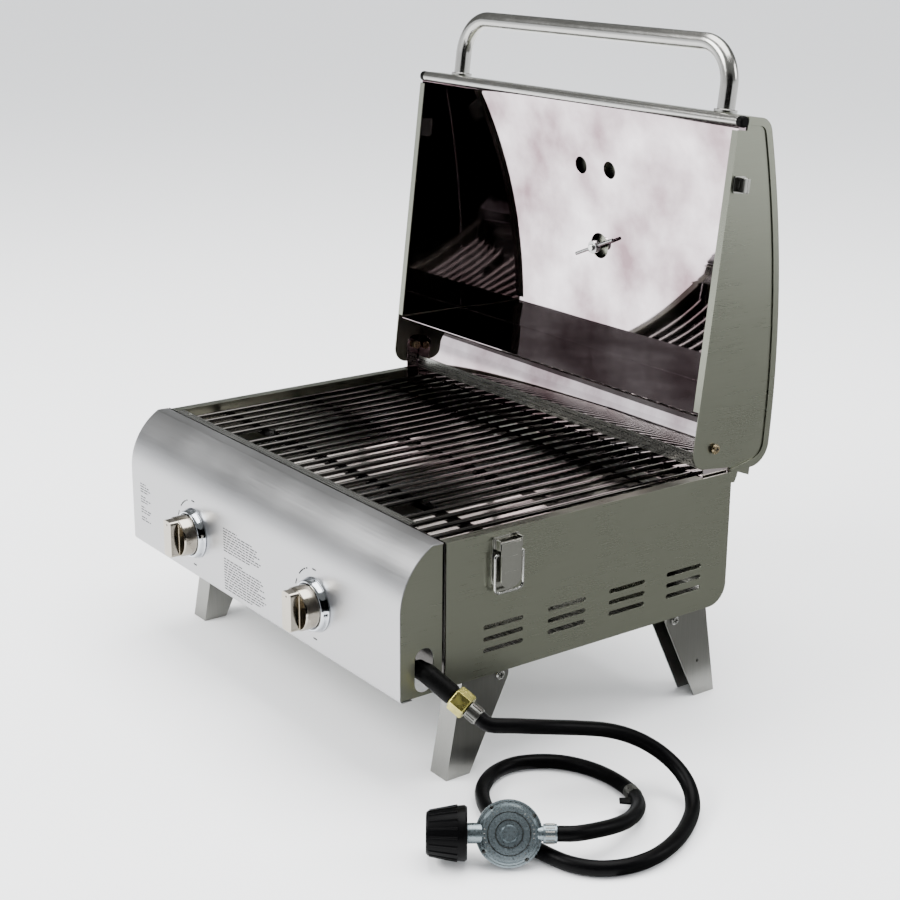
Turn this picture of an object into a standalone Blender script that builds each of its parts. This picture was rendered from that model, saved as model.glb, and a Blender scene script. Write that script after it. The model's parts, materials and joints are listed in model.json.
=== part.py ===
"""Folding camp grill: a two-burner stainless tabletop gas grill with a hinged lid,
folding legs and a gas hose with its regulator.

Shapes are laid out in millimetres, X across the grill, Y from the front to the back,
Z up from the ground. Y = 0 is the front edge of the firebox side panels; the whole
model is then moved along Y so that its footprint is centred on the origin.
"""
import bpy
import bmesh
from math import acos, atan2, cos, degrees, hypot, pi, radians, sin, tan
from mathutils import Matrix, Vector

MM = 0.001
SHIFT_Y = -180.06
GAP = 0.3
SHEET = 1.2

# Firebox
HALF_WIDTH = 280.0
SIDE_INNER = HALF_WIDTH - SHEET
BODY_BACK = 379.4
FLOOR_Z = 112.4
TOP_Z = 263.5
SHELL_BEND = 24.0
VENT_GROUP_Y = (70.6, 152.7, 234.5, 315.3)
VENT_ROW_Z = (139.7, 152.0, 164.5)
VENT_LENGTH = 50.0
VENT_HEIGHT = 5.2

# Burners, valves and controls
BURNER_X = 128.0
BURNER_Z = 182.0
BURNER_RADIUS = 12.5
KNOB_Z = 162.5
PANEL_FRONT_Y = -54.5
PANEL_BOTTOM_Z = 110.0
PANEL_TOP_Z = 265.0
PANEL_ARC_CENTRE = (20.6, 200.0)
PANEL_ARC_RADIUS = 75.1
KNOB_RADIUS = 23.5
STEM_RADIUS = 4.0
MANIFOLD_Y = -25.0
MANIFOLD_Z = 136.0

# Cooking grate
ROD_RADIUS = 3.0
ROD_COUNT = 26
ROD_PITCH = 20.67
ROD_Z = 253.3
SHORT_RODS = (5, 20)
GRATE_BAR_Y = (16.0, 70.0, 184.0, 298.0, 351.0)

# Legs
LEG_PIVOT_Y = (79.0, 319.5)
LEG_PIVOT_Z = 100.5
LEG_INNER_X = 237.0
LEG_OUTER_X = 264.5
LEG_SHEET = 1.5
LEG_EYE_RADIUS = 11.6
LEG_SHOULDER = 46.0
LEG_FOOT_OUTER = 66.3
LEG_FOOT_INNER = 36.5

# Lid, in its own frame: Z runs from the hinge to the handle, Y is the depth
LID_PIVOT_Y = 353.2
LID_PIVOT_Z = 293.4
LID_LEAN = 6.7
LID_FACE = 347.7
LID_RIM = -29.0
LID_BACK = -24.0
LID_CROWN_START = (333.0, 19.7)
LID_CROWN_END = (5.0, 82.0)
LID_CROWN = 12.5
LID_HALF_WIDTH = 278.4
THERMOMETER_U = 175.0
HANDLE_X = 229.0
HANDLE_Z = 417.0
HANDLE_RADIUS = 9.5
HANDLE_BEND = 43.0
RAIL_Y = -23.5
RAIL_Z = 342.0

# Latches
LATCH_Y = 71.0
LATCH_AXIS_X = 287.5
LATCH_AXIS_Z = 251.0
BAIL_X = 287.0
BAIL_Z = 241.0
BAIL_HALF_WIDTH = 17.5
BAIL_LENGTH = 40.0
BAIL_RADIUS = 1.5

# Gas line
HOSE_RADIUS = 7.5
HOSE_REST_Z = 7.9
INLET_START = Vector((287.0, -21.7, 132.6))
INLET_DIRECTION = Vector((0.786, 0.367, -0.498)).normalized()
REGULATOR_CENTRE = Vector((422.0, -31.0, 29.6))
REGULATOR_AXIS = Vector((0.591, 0.806, 0.0)).normalized()
REGULATOR_TILT = 28.0
HOSE_STEP = 30.0
END_STUB = 4.5


def clear_scene():
    for old in list(bpy.data.objects):
        bpy.data.objects.remove(old, do_unlink=True)


def material(slot, colour, roughness, metallic):
    mat = bpy.data.materials.new(slot)
    mat.use_nodes = True
    mat.diffuse_color = (*colour, 1.0)
    shader = mat.node_tree.nodes["Principled BSDF"]
    shader.inputs["Base Color"].default_value = (*colour, 1.0)
    shader.inputs["Roughness"].default_value = roughness
    shader.inputs["Metallic"].default_value = metallic
    return mat


# ---- outlines -------------------------------------------------------------------

def arc(centre, radius, start, end, steps):
    """Points on a circle from one angle to another, in degrees."""
    points = []
    for i in range(steps + 1):
        angle = radians(start + (end - start) * i / steps)
        points.append((centre[0] + radius * cos(angle), centre[1] + radius * sin(angle)))
    return points


def bow(start, end, rise, steps):
    """A shallow arc between two points, bulging to the right of the way it runs."""
    points = []
    length = hypot(end[0] - start[0], end[1] - start[1])
    along = ((end[0] - start[0]) / length, (end[1] - start[1]) / length)
    for i in range(steps + 1):
        t = i / steps
        lift = 4 * rise * t * (1 - t)
        x = start[0] + along[0] * length * t + along[1] * lift
        y = start[1] + along[1] * length * t - along[0] * lift
        points.append((x, y))
    return points


def fillet(points, corners, steps=4, closed=True):
    """Round the listed corners of an outline; corners maps a point's index to a radius."""
    count = len(points)
    result = []
    for i, point in enumerate(points):
        radius = corners.get(i, 0)
        if not radius or (not closed and i in (0, count - 1)):
            result.append(point)
            continue
        here = Vector(point)
        before = (Vector(points[i - 1]) - here).normalized()
        after = (Vector(points[(i + 1) % count]) - here).normalized()
        half = acos(max(-1.0, min(1.0, before.dot(after)))) / 2
        bisector = (before + after).normalized()
        centre = here + bisector * (radius / sin(half))
        start = here + before * (radius / tan(half)) - centre
        end = here + after * (radius / tan(half)) - centre
        a0 = atan2(start.y, start.x)
        sweep = (atan2(end.y, end.x) - a0 + pi) % (2 * pi) - pi
        result += arc(centre, radius, degrees(a0), degrees(a0 + sweep), steps)
    return result


def offset(points, distance, closed=False):
    """The line moved sideways, to the left of the way it runs."""
    count = len(points)
    result = []
    for i in range(count):
        here = Vector(points[i])
        prev_index = i - 1 if (closed or i > 0) else None
        next_index = (i + 1) % count if (closed or i < count - 1) else None
        into = (here - Vector(points[prev_index])).normalized() if prev_index is not None else None
        out = (Vector(points[next_index]) - here).normalized() if next_index is not None else None
        into = into or out
        out = out or into
        normal = (Vector((-into.y, into.x)) + Vector((-out.y, out.x))).normalized()
        reach = distance / max(0.3, normal.dot(Vector((-into.y, into.x))))
        result.append(tuple(here + normal * reach))
    return result


def band(points, thickness):
    """The outline of a sheet that follows a line; a positive thickness lies to its left."""
    return list(points) + list(reversed(offset(points, thickness)))


# ---- solids: each is a list of points and a list of faces -------------------------

def prism(outline, axis, low, high):
    """An outline pushed along X (of y, z), Y (of x, z) or Z (of x, y)."""
    place = {
        "X": lambda p, t: (t, p[0], p[1]),
        "Y": lambda p, t: (p[0], t, p[1]),
        "Z": lambda p, t: (p[0], p[1], t),
    }[axis]
    count = len(outline)
    verts = [place(p, low) for p in outline] + [place(p, high) for p in outline]
    faces = [tuple(range(count)), tuple(range(2 * count - 1, count - 1, -1))]
    for i in range(count):
        j = (i + 1) % count
        faces.append((i, j, count + j, count + i))
    return verts, faces


def box(x_range, y_range, z_range):
    outline = [(x_range[0], y_range[0]), (x_range[1], y_range[0]),
               (x_range[1], y_range[1]), (x_range[0], y_range[1])]
    return prism(outline, "Z", z_range[0], z_range[1])


def skin_rings(rings, closed_ends=True):
    """Join rings of equal size into one closed solid."""
    size = len(rings[0])
    verts = [tuple(p) for ring in rings for p in ring]
    faces = []
    for k in range(len(rings) - 1):
        a = k * size
        b = a + size
        for i in range(size):
            j = (i + 1) % size
            faces.append((a + i, a + j, b + j, b + i))
    if closed_ends:
        faces.append(tuple(range(size)))
        faces.append(tuple(range(len(verts) - 1, len(verts) - size - 1, -1)))
    else:
        last = (len(rings) - 1) * size
        for i in range(size):
            j = (i + 1) % size
            faces.append((last + i, last + j, j, i))
    return verts, faces


def tube(points, radii, sides=16):
    """A round bar through a line of points, with a radius at each of them."""
    path = [Vector(p) for p in points]
    if not hasattr(radii, "__len__"):
        radii = [radii] * len(path)
    rings = []
    side = None
    last = len(path) - 1
    for i, here in enumerate(path):
        along = path[min(i + 1, last)] - path[max(i - 1, 0)]
        if 0 < i < last:
            along = (path[i + 1] - here).normalized() + (here - path[i - 1]).normalized()
        along.normalize()
        if side is None:
            side = along.orthogonal()
        side = (side - along * side.dot(along)).normalized()
        other = along.cross(side)
        stretch = 1.0
        if 0 < i < last:
            stretch = 1.0 / max(0.5, along.dot((path[i + 1] - here).normalized()))
        ring = []
        for k in range(sides):
            angle = 2 * pi * k / sides
            reach = radii[i] * (stretch if 0 < i < last and stretch < 1.2 else 1.0)
            ring.append(here + reach * (cos(angle) * side + sin(angle) * other))
        rings.append(ring)
    return skin_rings(rings)


def rod(start, end, radius, sides=16):
    return tube([start, end], radius, sides)


def lathe(profile, centre, axis, sides=32):
    """A turned solid. The profile is (radius, height along the axis) from pole to pole,
    or a closed loop when neither end lies on the axis."""
    axis = Vector(axis).normalized()
    side = axis.orthogonal().normalized()
    other = axis.cross(side)
    centre = Vector(centre)
    verts = []
    rows = []
    for radius, height in profile:
        base = centre + axis * height
        if radius == 0:
            rows.append([len(verts)] * sides)
            verts.append(tuple(base))
            continue
        rows.append(list(range(len(verts), len(verts) + sides)))
        for k in range(sides):
            angle = 2 * pi * k / sides
            verts.append(tuple(base + radius * (cos(angle) * side + sin(angle) * other)))
    faces = []
    pairs = list(zip(rows, rows[1:]))
    if profile[0][0] != 0:
        pairs.append((rows[-1], rows[0]))
    for first, second in pairs:
        for k in range(sides):
            j = (k + 1) % sides
            corners = []
            for index in (first[k], first[j], second[j], second[k]):
                if index not in corners:
                    corners.append(index)
            if len(corners) > 2:
                faces.append(tuple(corners))
    return verts, faces


def flipped(shape, sign):
    """The same solid on the other side of X = 0 when sign is -1."""
    return [(x * sign, y, z) for x, y, z in shape[0]], shape[1]


def slot_outline(centre, length, height, steps=4, upright=False):
    """A round-ended slot."""
    half = (length - height) / 2
    points = arc((half, 0), height / 2, -90, 90, steps) + arc((-half, 0), height / 2, 90, 270, steps)
    if upright:
        points = [(-y, x) for x, y in points]
    return [(centre[0] + x, centre[1] + y) for x, y in points]


def mesh_object(name, shape, in_body_frame):
    shift = SHIFT_Y if in_body_frame else 0.0
    mesh = bpy.data.meshes.new(name)
    mesh.from_pydata([(x * MM, (y + shift) * MM, z * MM) for x, y, z in shape[0]], [], shape[1])
    bm = bmesh.new()
    bm.from_mesh(mesh)
    bmesh.ops.recalc_face_normals(bm, faces=bm.faces)
    if bm.calc_volume(signed=True) < 0:
        bmesh.ops.reverse_faces(bm, faces=bm.faces)
    bm.to_mesh(mesh)
    bm.free()
    obj = bpy.data.objects.new(name, mesh)
    bpy.context.scene.collection.objects.link(obj)
    return obj


def combine(obj, shapes, operation, in_body_frame):
    """Join or cut a solid with others by exact Booleans, and keep the result as its mesh."""
    tools = []
    for i, shape in enumerate(shapes):
        tool = mesh_object(f"{obj.name}_{operation.lower()}_{i}", shape, in_body_frame)
        tool.hide_render = True
        tool.display_type = "WIRE"
        modifier = obj.modifiers.new(operation.title(), "BOOLEAN")
        modifier.operation = operation
        modifier.solver = "EXACT"
        modifier.object = tool
        tools.append(tool)
    bpy.context.view_layer.update()
    depsgraph = bpy.context.evaluated_depsgraph_get()
    result = bpy.data.meshes.new_from_object(obj.evaluated_get(depsgraph))
    obj.modifiers.clear()
    obj.data = result
    for tool in tools:
        bpy.data.objects.remove(tool, do_unlink=True)


def piece(name, mat, shape, add=(), cut=(), pivot=None, parent=None, smooth=35.0):
    """One sub-part: a solid, joined with some shapes and cut by others. Its origin goes to
    the pivot. With a parent its shapes are in the parent's frame."""
    in_body_frame = parent is None
    obj = mesh_object(name, shape, in_body_frame)
    if add:
        combine(obj, add, "UNION", in_body_frame)
    if cut:
        combine(obj, cut, "DIFFERENCE", in_body_frame)
    if pivot is not None:
        shift = SHIFT_Y if in_body_frame else 0.0
        origin = Vector((pivot[0] * MM, (pivot[1] + shift) * MM, pivot[2] * MM))
        obj.data.transform(Matrix.Translation(-origin))
        obj.location = origin
    if parent is not None:
        obj.parent = parent
    obj.data.materials.clear()
    obj.data.materials.append(mat)
    obj.data.shade_smooth()
    obj.data.set_sharp_from_angle(angle=radians(smooth))
    return obj


clear_scene()

BRUSHED = (0.56, 0.56, 0.55)
MIRROR = (0.72, 0.73, 0.74)
side_steel = material("side_steel", (0.40, 0.41, 0.37), 0.38, 1.0)
panel_steel = material("panel_steel", (0.66, 0.66, 0.66), 0.34, 1.0)
mirror_steel = material("mirror_steel", MIRROR, 0.10, 1.0)
shell_steel = material("shell_steel", BRUSHED, 0.36, 1.0)
leg_steel = material("leg_steel", (0.52, 0.52, 0.50), 0.42, 1.0)
handle_steel = material("handle_steel", (0.62, 0.61, 0.59), 0.28, 1.0)
rod_steel = material("rod_steel", (0.16, 0.15, 0.14), 0.24, 1.0)
burner_steel = material("burner_steel", (0.42, 0.40, 0.37), 0.45, 1.0)
tent_steel = material("tent_steel", (0.50, 0.49, 0.47), 0.40, 1.0)
tray_steel = material("tray_steel", (0.55, 0.55, 0.54), 0.35, 1.0)
knob_nickel = material("knob_nickel", (0.60, 0.57, 0.52), 0.22, 1.0)
bezel_chrome = material("bezel_chrome", (0.70, 0.73, 0.77), 0.14, 1.0)
valve_brass = material("valve_brass", (0.62, 0.50, 0.28), 0.38, 1.0)
stem_steel = material("stem_steel", (0.50, 0.50, 0.50), 0.35, 1.0)
pipe_steel = material("pipe_steel", (0.45, 0.45, 0.44), 0.40, 1.0)
screw_steel = material("screw_steel", (0.58, 0.58, 0.57), 0.30, 1.0)
bolt_steel = material("bolt_steel", (0.60, 0.54, 0.42), 0.30, 1.0)
latch_steel = material("latch_steel", (0.60, 0.60, 0.58), 0.30, 1.0)
wire_steel = material("wire_steel", (0.64, 0.64, 0.63), 0.24, 1.0)
black_rubber = material("black_rubber", (0.02, 0.02, 0.02), 0.60, 0.0)
hose_rubber = material("hose_rubber", (0.018, 0.018, 0.02), 0.52, 0.0)
nut_yellow = material("nut_yellow", (0.62, 0.56, 0.22), 0.32, 1.0)
ferrule_steel = material("ferrule_steel", (0.40, 0.40, 0.40), 0.34, 1.0)
regulator_zinc = material("regulator_zinc", (0.50, 0.53, 0.56), 0.42, 0.8)
wheel_plastic = material("wheel_plastic", (0.02, 0.02, 0.022), 0.45, 0.0)
dial_steel = material("dial_steel", (0.68, 0.68, 0.67), 0.22, 1.0)

SIDES = (("left", -1.0), ("right", 1.0))

# ---- firebox ----------------------------------------------------------------------

side_outline = fillet([(0.0, FLOOR_Z), (BODY_BACK, FLOOR_Z), (BODY_BACK, TOP_Z), (0.0, TOP_Z)],
                      {1: SHELL_BEND})
side_flange = box((268.0, SIDE_INNER + 0.5), (0.4, 338.0), (TOP_Z - SHEET, TOP_Z))
vents = []
for group_y in VENT_GROUP_Y:
    for row_z in VENT_ROW_Z:
        hole = slot_outline((group_y, row_z), VENT_LENGTH, VENT_HEIGHT, 3)
        vents.append(prism(hole, "X", SIDE_INNER - 3, HALF_WIDTH + 3))
for label, sign in SIDES:
    piece(f"firebox_{label}_side", side_steel,
          flipped(prism(side_outline, "X", SIDE_INNER, HALF_WIDTH), sign),
          add=[flipped(side_flange, sign)], cut=[flipped(vent, sign) for vent in vents])

SHELL_X = SIDE_INNER - GAP
EAR_OUTER_X = 261.0
EAR_INNER_X = 240.0
EAR_BOTTOM_Z = 92.0
TRAY_SLOT_X = 202.0
TRAY_SLOT_Z = (137.4, 160.0)
shell_line = fillet([(0.0, FLOOR_Z), (BODY_BACK, FLOOR_Z), (BODY_BACK, TOP_Z - 1.8)],
                    {1: SHELL_BEND}, closed=False)
shell_parts = []
shell_cuts = [box((-TRAY_SLOT_X, TRAY_SLOT_X), (BODY_BACK - 4, BODY_BACK + 4), TRAY_SLOT_Z)]
for sign in (-1.0, 1.0):
    for pivot_y in LEG_PIVOT_Y:
        ear = fillet([(pivot_y - 10, FLOOR_Z + 0.5), (pivot_y - 10, EAR_BOTTOM_Z),
                      (pivot_y + 10, EAR_BOTTOM_Z), (pivot_y + 10, FLOOR_Z + 0.5)], {1: 9.0, 2: 9.0}, 3)
        for low, high in ((EAR_INNER_X, EAR_INNER_X + SHEET), (EAR_OUTER_X - SHEET, EAR_OUTER_X)):
            shell_parts.append(flipped(prism(ear, "X", low, high), sign))
        shell_cuts.append(flipped(rod((EAR_INNER_X - 4, pivot_y, LEG_PIVOT_Z),
                                      (EAR_OUTER_X + 1.2, pivot_y, LEG_PIVOT_Z), 2.8, 12), sign))
    shell_parts.append(flipped(box((186.0, 192.0), (24.0, 350.0), (FLOOR_Z + 0.6, TRAY_SLOT_Z[0] + 0.6)), sign))
piece("firebox_shell", shell_steel, prism(band(shell_line, SHEET), "X", -SHELL_X, SHELL_X),
      add=shell_parts, cut=shell_cuts)

burner_holes = []
for sign in (-1.0, 1.0):
    burner_holes.append(rod((BURNER_X * sign, -8.0, BURNER_Z), (BURNER_X * sign, 4.0, BURNER_Z),
                            BURNER_RADIUS + 1.0, 24))
piece("firebox_front_panel", panel_steel, box((-HALF_WIDTH, HALF_WIDTH), (-2.4, -1.2), (FLOOR_Z, 265.0)),
      cut=burner_holes)

SHIELD_LEFT_X = -267.0
SHIELD_RIGHT_X = 214.0
LEDGE_Z = 244.0
shield_line = [(11.0, TOP_Z), (0.3, TOP_Z), (0.3, LEDGE_Z - SHEET), (20.0, LEDGE_Z - SHEET)]
piece("front_heat_shield", shell_steel,
      prism(band(shield_line, SHEET), "X", SHIELD_LEFT_X, SHIELD_RIGHT_X),
      cut=[rod((-244.0, 7.0, TOP_Z - 4), (-244.0, 7.0, TOP_Z + 4), 2.2, 10)])

GUARD_X = 272.0
guard_line = [(343.0, LEDGE_Z), (358.0, LEDGE_Z), (358.0, 280.0), (362.5, 306.0),
              (366.0, 316.5), (378.8, 316.5), (378.8, TOP_Z + 0.6)]
guard_line = list(reversed(guard_line))
piece("rear_guard", mirror_steel, prism(band(guard_line, SHEET), "X", -GUARD_X, GUARD_X))

# ---- control panel ------------------------------------------------------------------

panel_arc = arc(PANEL_ARC_CENTRE, PANEL_ARC_RADIUS, 119.7, 180.0, 12)
panel_front = [(-3.5, PANEL_TOP_Z)] + panel_arc
panel_line = panel_front + fillet([panel_arc[-1], (PANEL_FRONT_Y, PANEL_BOTTOM_Z), (-40.0, PANEL_BOTTOM_Z)],
                                  {1: 4.0}, 3, closed=False)[1:]
STEM_HOLE = 10.0
panel_holes = []
for sign in (-1.0, 1.0):
    panel_holes.append(rod((BURNER_X * sign, PANEL_FRONT_Y - 4, KNOB_Z),
                           (BURNER_X * sign, PANEL_FRONT_Y + 6, KNOB_Z), STEM_HOLE, 20))
piece("control_panel", panel_steel, prism(band(panel_line, SHEET), "X", -HALF_WIDTH, HALF_WIDTH),
      cut=panel_holes)

cap_outline = offset(panel_line, SHEET + GAP) + [(-3.8, PANEL_BOTTOM_Z + SHEET + GAP)]
INLET_HOLE = (-25.0, 138.0)
inlet_hole = slot_outline(INLET_HOLE, 46.0, 22.0, 6, upright=True)
for label, sign in SIDES:
    cap_cut = [prism(inlet_hole, "X", 270.0, 290.0)] if sign > 0 else []
    piece(f"control_panel_{label}_cap", side_steel,
          flipped(prism(cap_outline, "X", SIDE_INNER - SHEET, SIDE_INNER), sign), cut=cap_cut)

# ---- knobs, valves and burners --------------------------------------------------------

KNOB_BACK_Y = -59.5
KNOB_FRONT_Y = -78.0
GRIP_FRONT_Y = -88.0
STEM_FRONT_Y = -74.0
for label, sign in SIDES:
    x = BURNER_X * sign
    forward = (0.0, -1.0, 0.0)
    bezel_profile = [(24.3, 0.3), (29.0, 0.3), (29.0, 3.0), (26.5, 8.5), (24.3, 8.5)]
    piece(f"{label}_knob_bezel", bezel_chrome,
          lathe(bezel_profile, (x, PANEL_FRONT_Y, KNOB_Z), forward, 36))

    knob_body = lathe([(0, 0), (KNOB_RADIUS - 1, 0), (KNOB_RADIUS, 1.2), (KNOB_RADIUS - 0.6, 16.5),
                       (KNOB_RADIUS - 2.2, 18.5), (0, 18.5)], (x, KNOB_BACK_Y, KNOB_Z), forward, 36)
    grip = fillet([(x - 8.5, KNOB_Z - 21.0), (x + 8.5, KNOB_Z - 21.0),
                   (x + 8.5, KNOB_Z + 21.0), (x - 8.5, KNOB_Z + 21.0)],
                  {0: 3.5, 1: 3.5, 2: 3.5, 3: 3.5}, 3)
    stem_bore = rod((x, KNOB_BACK_Y + 5, KNOB_Z), (x, STEM_FRONT_Y - 0.4, KNOB_Z), STEM_RADIUS + GAP, 16)
    piece(f"{label}_knob", knob_nickel, knob_body,
          add=[prism(grip, "Y", KNOB_FRONT_Y + 3, GRIP_FRONT_Y)], cut=[stem_bore],
          pivot=(x, KNOB_BACK_Y, KNOB_Z))
    piece(f"{label}_valve_stem", stem_steel,
          rod((x, -41.0, KNOB_Z), (x, STEM_FRONT_Y, KNOB_Z), STEM_RADIUS, 16),
          pivot=(x, -41.0, KNOB_Z))

    valve_body = rod((x, -14.0, KNOB_Z), (x, -45.0, KNOB_Z), 13.0, 20)
    elbow = box((x - 8, x + 8), (-26.0, -15.0), (KNOB_Z, BURNER_Z + 8))
    nozzle = rod((x, -20.0, BURNER_Z), (x, -3.0, BURNER_Z), 4.5, 12)
    inlet = box((x - 7, x + 7), (-32.0, -18.0), (MANIFOLD_Z + 6.5 + GAP, KNOB_Z))
    piece(f"{label}_gas_valve", valve_brass, valve_body, add=[elbow, nozzle, inlet],
          cut=[rod((x, -35.0, KNOB_Z), (x, -50.0, KNOB_Z), STEM_RADIUS + GAP, 16)])

    burner_profile = [(0, 0), (BURNER_RADIUS, 0), (BURNER_RADIUS, 338), (BURNER_RADIUS - 2, 338),
                      (BURNER_RADIUS - 2, 2), (0, 2)]
    piece(f"{label}_burner", burner_steel, lathe(burner_profile, (x, 330.0, BURNER_Z), forward, 20))
    tent_line = [(x + 45.0, 203.0), (x, 228.0), (x - 45.0, 203.0)]
    piece(f"{label}_heat_tent", tent_steel, prism(band(tent_line, 1.0), "Y", 6.0, 352.0))

MANIFOLD_END_X = 268.0
manifold_path = [(-140.0, MANIFOLD_Y, MANIFOLD_Z), (MANIFOLD_END_X, MANIFOLD_Y, MANIFOLD_Z)]
piece("gas_manifold", pipe_steel, tube(manifold_path, 6.5, 14))

# ---- cooking grate --------------------------------------------------------------------

GRATE_FRONT_Y = 13.0
GRATE_BACK_Y = 355.0
GRATE_HALF_X = 266.0
bars = [box((-GRATE_HALF_X, GRATE_HALF_X), (y - 3, y + 3), (LEDGE_Z + 0.4, ROD_Z - 1.6)) for y in GRATE_BAR_Y]
rods = []
for i in range(ROD_COUNT):
    x = (i - (ROD_COUNT - 1) / 2) * ROD_PITCH
    start = GRATE_BAR_Y[1] if i in SHORT_RODS else GRATE_FRONT_Y
    rods.append(rod((x, start, ROD_Z), (x, GRATE_BACK_Y, ROD_Z), ROD_RADIUS, 8))
piece("cooking_grate", rod_steel, bars[0], add=rods + bars[1:], pivot=(0.0, 184.0, ROD_Z))

# ---- grease tray ------------------------------------------------------------------------

TRAY_HALF_X = 200.0
TRAY_FRONT_Y = 8.0
TRAY_BOTTOM_Z = 138.4
TRAY_TOP_Z = 157.0
tray_pan = box((-TRAY_HALF_X, TRAY_HALF_X), (TRAY_FRONT_Y, 380.4), (TRAY_BOTTOM_Z, TRAY_TOP_Z))
tray_hollow = box((-TRAY_HALF_X + 1.2, TRAY_HALF_X - 1.2), (TRAY_FRONT_Y + 1.2, 377.0),
                  (TRAY_BOTTOM_Z + 1.2, TRAY_TOP_Z + 5))
tray_front = box((-TRAY_HALF_X - 7, TRAY_HALF_X + 7), (BODY_BACK + 0.4, BODY_BACK + 1.6), (134.0, 164.0))
tray_lip = box((-40.0, 40.0), (BODY_BACK + 1.0, BODY_BACK + 12.0), (162.0, 163.2))
piece("grease_tray", tray_steel, tray_pan, add=[tray_front, tray_lip], cut=[tray_hollow],
      pivot=(0.0, BODY_BACK, TRAY_BOTTOM_Z))

# ---- legs -------------------------------------------------------------------------------

reach = hypot(LEG_FOOT_INNER, LEG_PIVOT_Z)
tangent = degrees(atan2(-LEG_PIVOT_Z, LEG_FOOT_INNER) - acos(LEG_EYE_RADIUS / reach)) % 360
leg_eye = arc((0.0, LEG_PIVOT_Z), LEG_EYE_RADIUS, 90.0, tangent, 8)
leg_outline = [(LEG_SHOULDER, LEG_PIVOT_Z + LEG_EYE_RADIUS)] + leg_eye \
    + [(LEG_FOOT_INNER, 0.0), (LEG_FOOT_OUTER, 0.0)]
slope = (LEG_FOOT_OUTER - LEG_SHOULDER) / (LEG_PIVOT_Z + LEG_EYE_RADIUS)
web_top = LEG_SHOULDER - LEG_SHEET - 10 * slope
web_bottom = LEG_FOOT_OUTER - LEG_SHEET + 10 * slope
leg_hollow_outline = [(web_top, LEG_PIVOT_Z + LEG_EYE_RADIUS + 10), (web_bottom, -10.0),
                      (-40.0, -10.0), (-40.0, LEG_PIVOT_Z + LEG_EYE_RADIUS + 10)]


def leg_shape(outline, low, high, end, sign):
    """A leg section, reaching forwards on the front legs and backwards on the rear ones."""
    pivot_y, outward = ((LEG_PIVOT_Y[0], -1.0), (LEG_PIVOT_Y[1], 1.0))[end]
    placed = [(pivot_y + outward * s, z) for s, z in outline]
    return flipped(prism(placed, "X", low, high), sign)


for end, end_label in enumerate(("front", "rear")):
    for label, sign in SIDES:
        pivot_y = LEG_PIVOT_Y[end]
        cuts = [leg_shape(leg_hollow_outline, LEG_INNER_X + LEG_SHEET, LEG_OUTER_X - LEG_SHEET, end, sign)]
        for low in (LEG_INNER_X - 2, LEG_OUTER_X - 4):
            cuts.append(flipped(rod((low, pivot_y, LEG_PIVOT_Z), (low + 6, pivot_y, LEG_PIVOT_Z), 2.8, 12), sign))
        if end == 1:
            cuts.append(flipped(rod((LEG_OUTER_X - 4, 358.0, 42.6), (LEG_OUTER_X + 4, 358.0, 42.6), 2.0, 10), sign))
        piece(f"{end_label}_{label}_leg", leg_steel,
              leg_shape(leg_outline, LEG_INNER_X, LEG_OUTER_X, end, sign), cut=cuts,
              pivot=(250.75 * sign, pivot_y, LEG_PIVOT_Z))
        screw = lathe([(0, 0), (2.5, 0), (2.5, 29.0), (5.0, 29.0), (5.0, 30.6), (3.6, 31.8), (0, 31.8)],
                      (LEG_OUTER_X + GAP - 29.0, pivot_y, LEG_PIVOT_Z), (1, 0, 0), 12)
        piece(f"{end_label}_{label}_leg_screw", screw_steel, flipped(screw, sign))

# ---- lid ----------------------------------------------------------------------------------
# The lid's pieces hang under an empty on the hinge line, leaning back by the opening angle.

lid_frame = bpy.data.objects.new("lid_frame", None)
lid_frame.location = (0.0, (LID_PIVOT_Y + SHIFT_Y) * MM, LID_PIVOT_Z * MM)
lid_frame.rotation_euler = (radians(-LID_LEAN), 0.0, 0.0)
bpy.context.scene.collection.objects.link(lid_frame)
bpy.context.view_layer.update()


def lid_line(inset, front_start, back_end):
    """The lid's outline in (Y, Z), moved inwards: up the front, over the crown, down the back."""
    crown = [(y, z) for z, y in bow(LID_CROWN_START, LID_CROWN_END, LID_CROWN, 8)]
    front_corner = (14.5, LID_FACE)
    back_corner = (83.0, LID_BACK)
    line = fillet([(LID_RIM, LID_FACE), front_corner] + crown + [back_corner, (LID_RIM, LID_BACK)],
                  {1: 18.0, len(crown) + 2: 26.0}, 5, closed=False)
    line = offset(line, -inset)
    line[0] = (front_start, line[0][1])
    line[-1] = (back_end, line[-1][1])
    return line


SKIN_SHEET = 1.1
SKIN_FLANGE = 8.5
skin_line = lid_line(0.0, -17.0, 58.0)
inner_lines = {depth: offset(skin_line, -depth) for depth in (0.0, SKIN_SHEET, SKIN_FLANGE)}
skin_section = [(-LID_HALF_WIDTH, SKIN_FLANGE), (-LID_HALF_WIDTH, 0.0),
                (LID_HALF_WIDTH, 0.0), (LID_HALF_WIDTH, SKIN_FLANGE),
                (LID_HALF_WIDTH - SKIN_SHEET, SKIN_FLANGE), (LID_HALF_WIDTH - SKIN_SHEET, SKIN_SHEET),
                (-LID_HALF_WIDTH + SKIN_SHEET, SKIN_SHEET), (-LID_HALF_WIDTH + SKIN_SHEET, SKIN_FLANGE)]
skin_rows = []
for i in range(len(skin_line)):
    skin_rows.append([(x, *inner_lines[depth][i]) for x, depth in skin_section])
crown_y = 19.7 + (82.0 - 19.7) * (333.0 - THERMOMETER_U) / 328.0 + LID_CROWN * 1.0
dial_normal = Vector((0.0, cos(radians(10.8)), sin(radians(10.8))))
dial_centre = Vector((0.0, crown_y, THERMOMETER_U))
dial_hole = rod(dial_centre - dial_normal * 6, dial_centre + dial_normal * 6, 4.3, 14)
piece("lid_skin", side_steel, skin_rings(skin_rows), cut=[dial_hole], parent=lid_frame)

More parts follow.
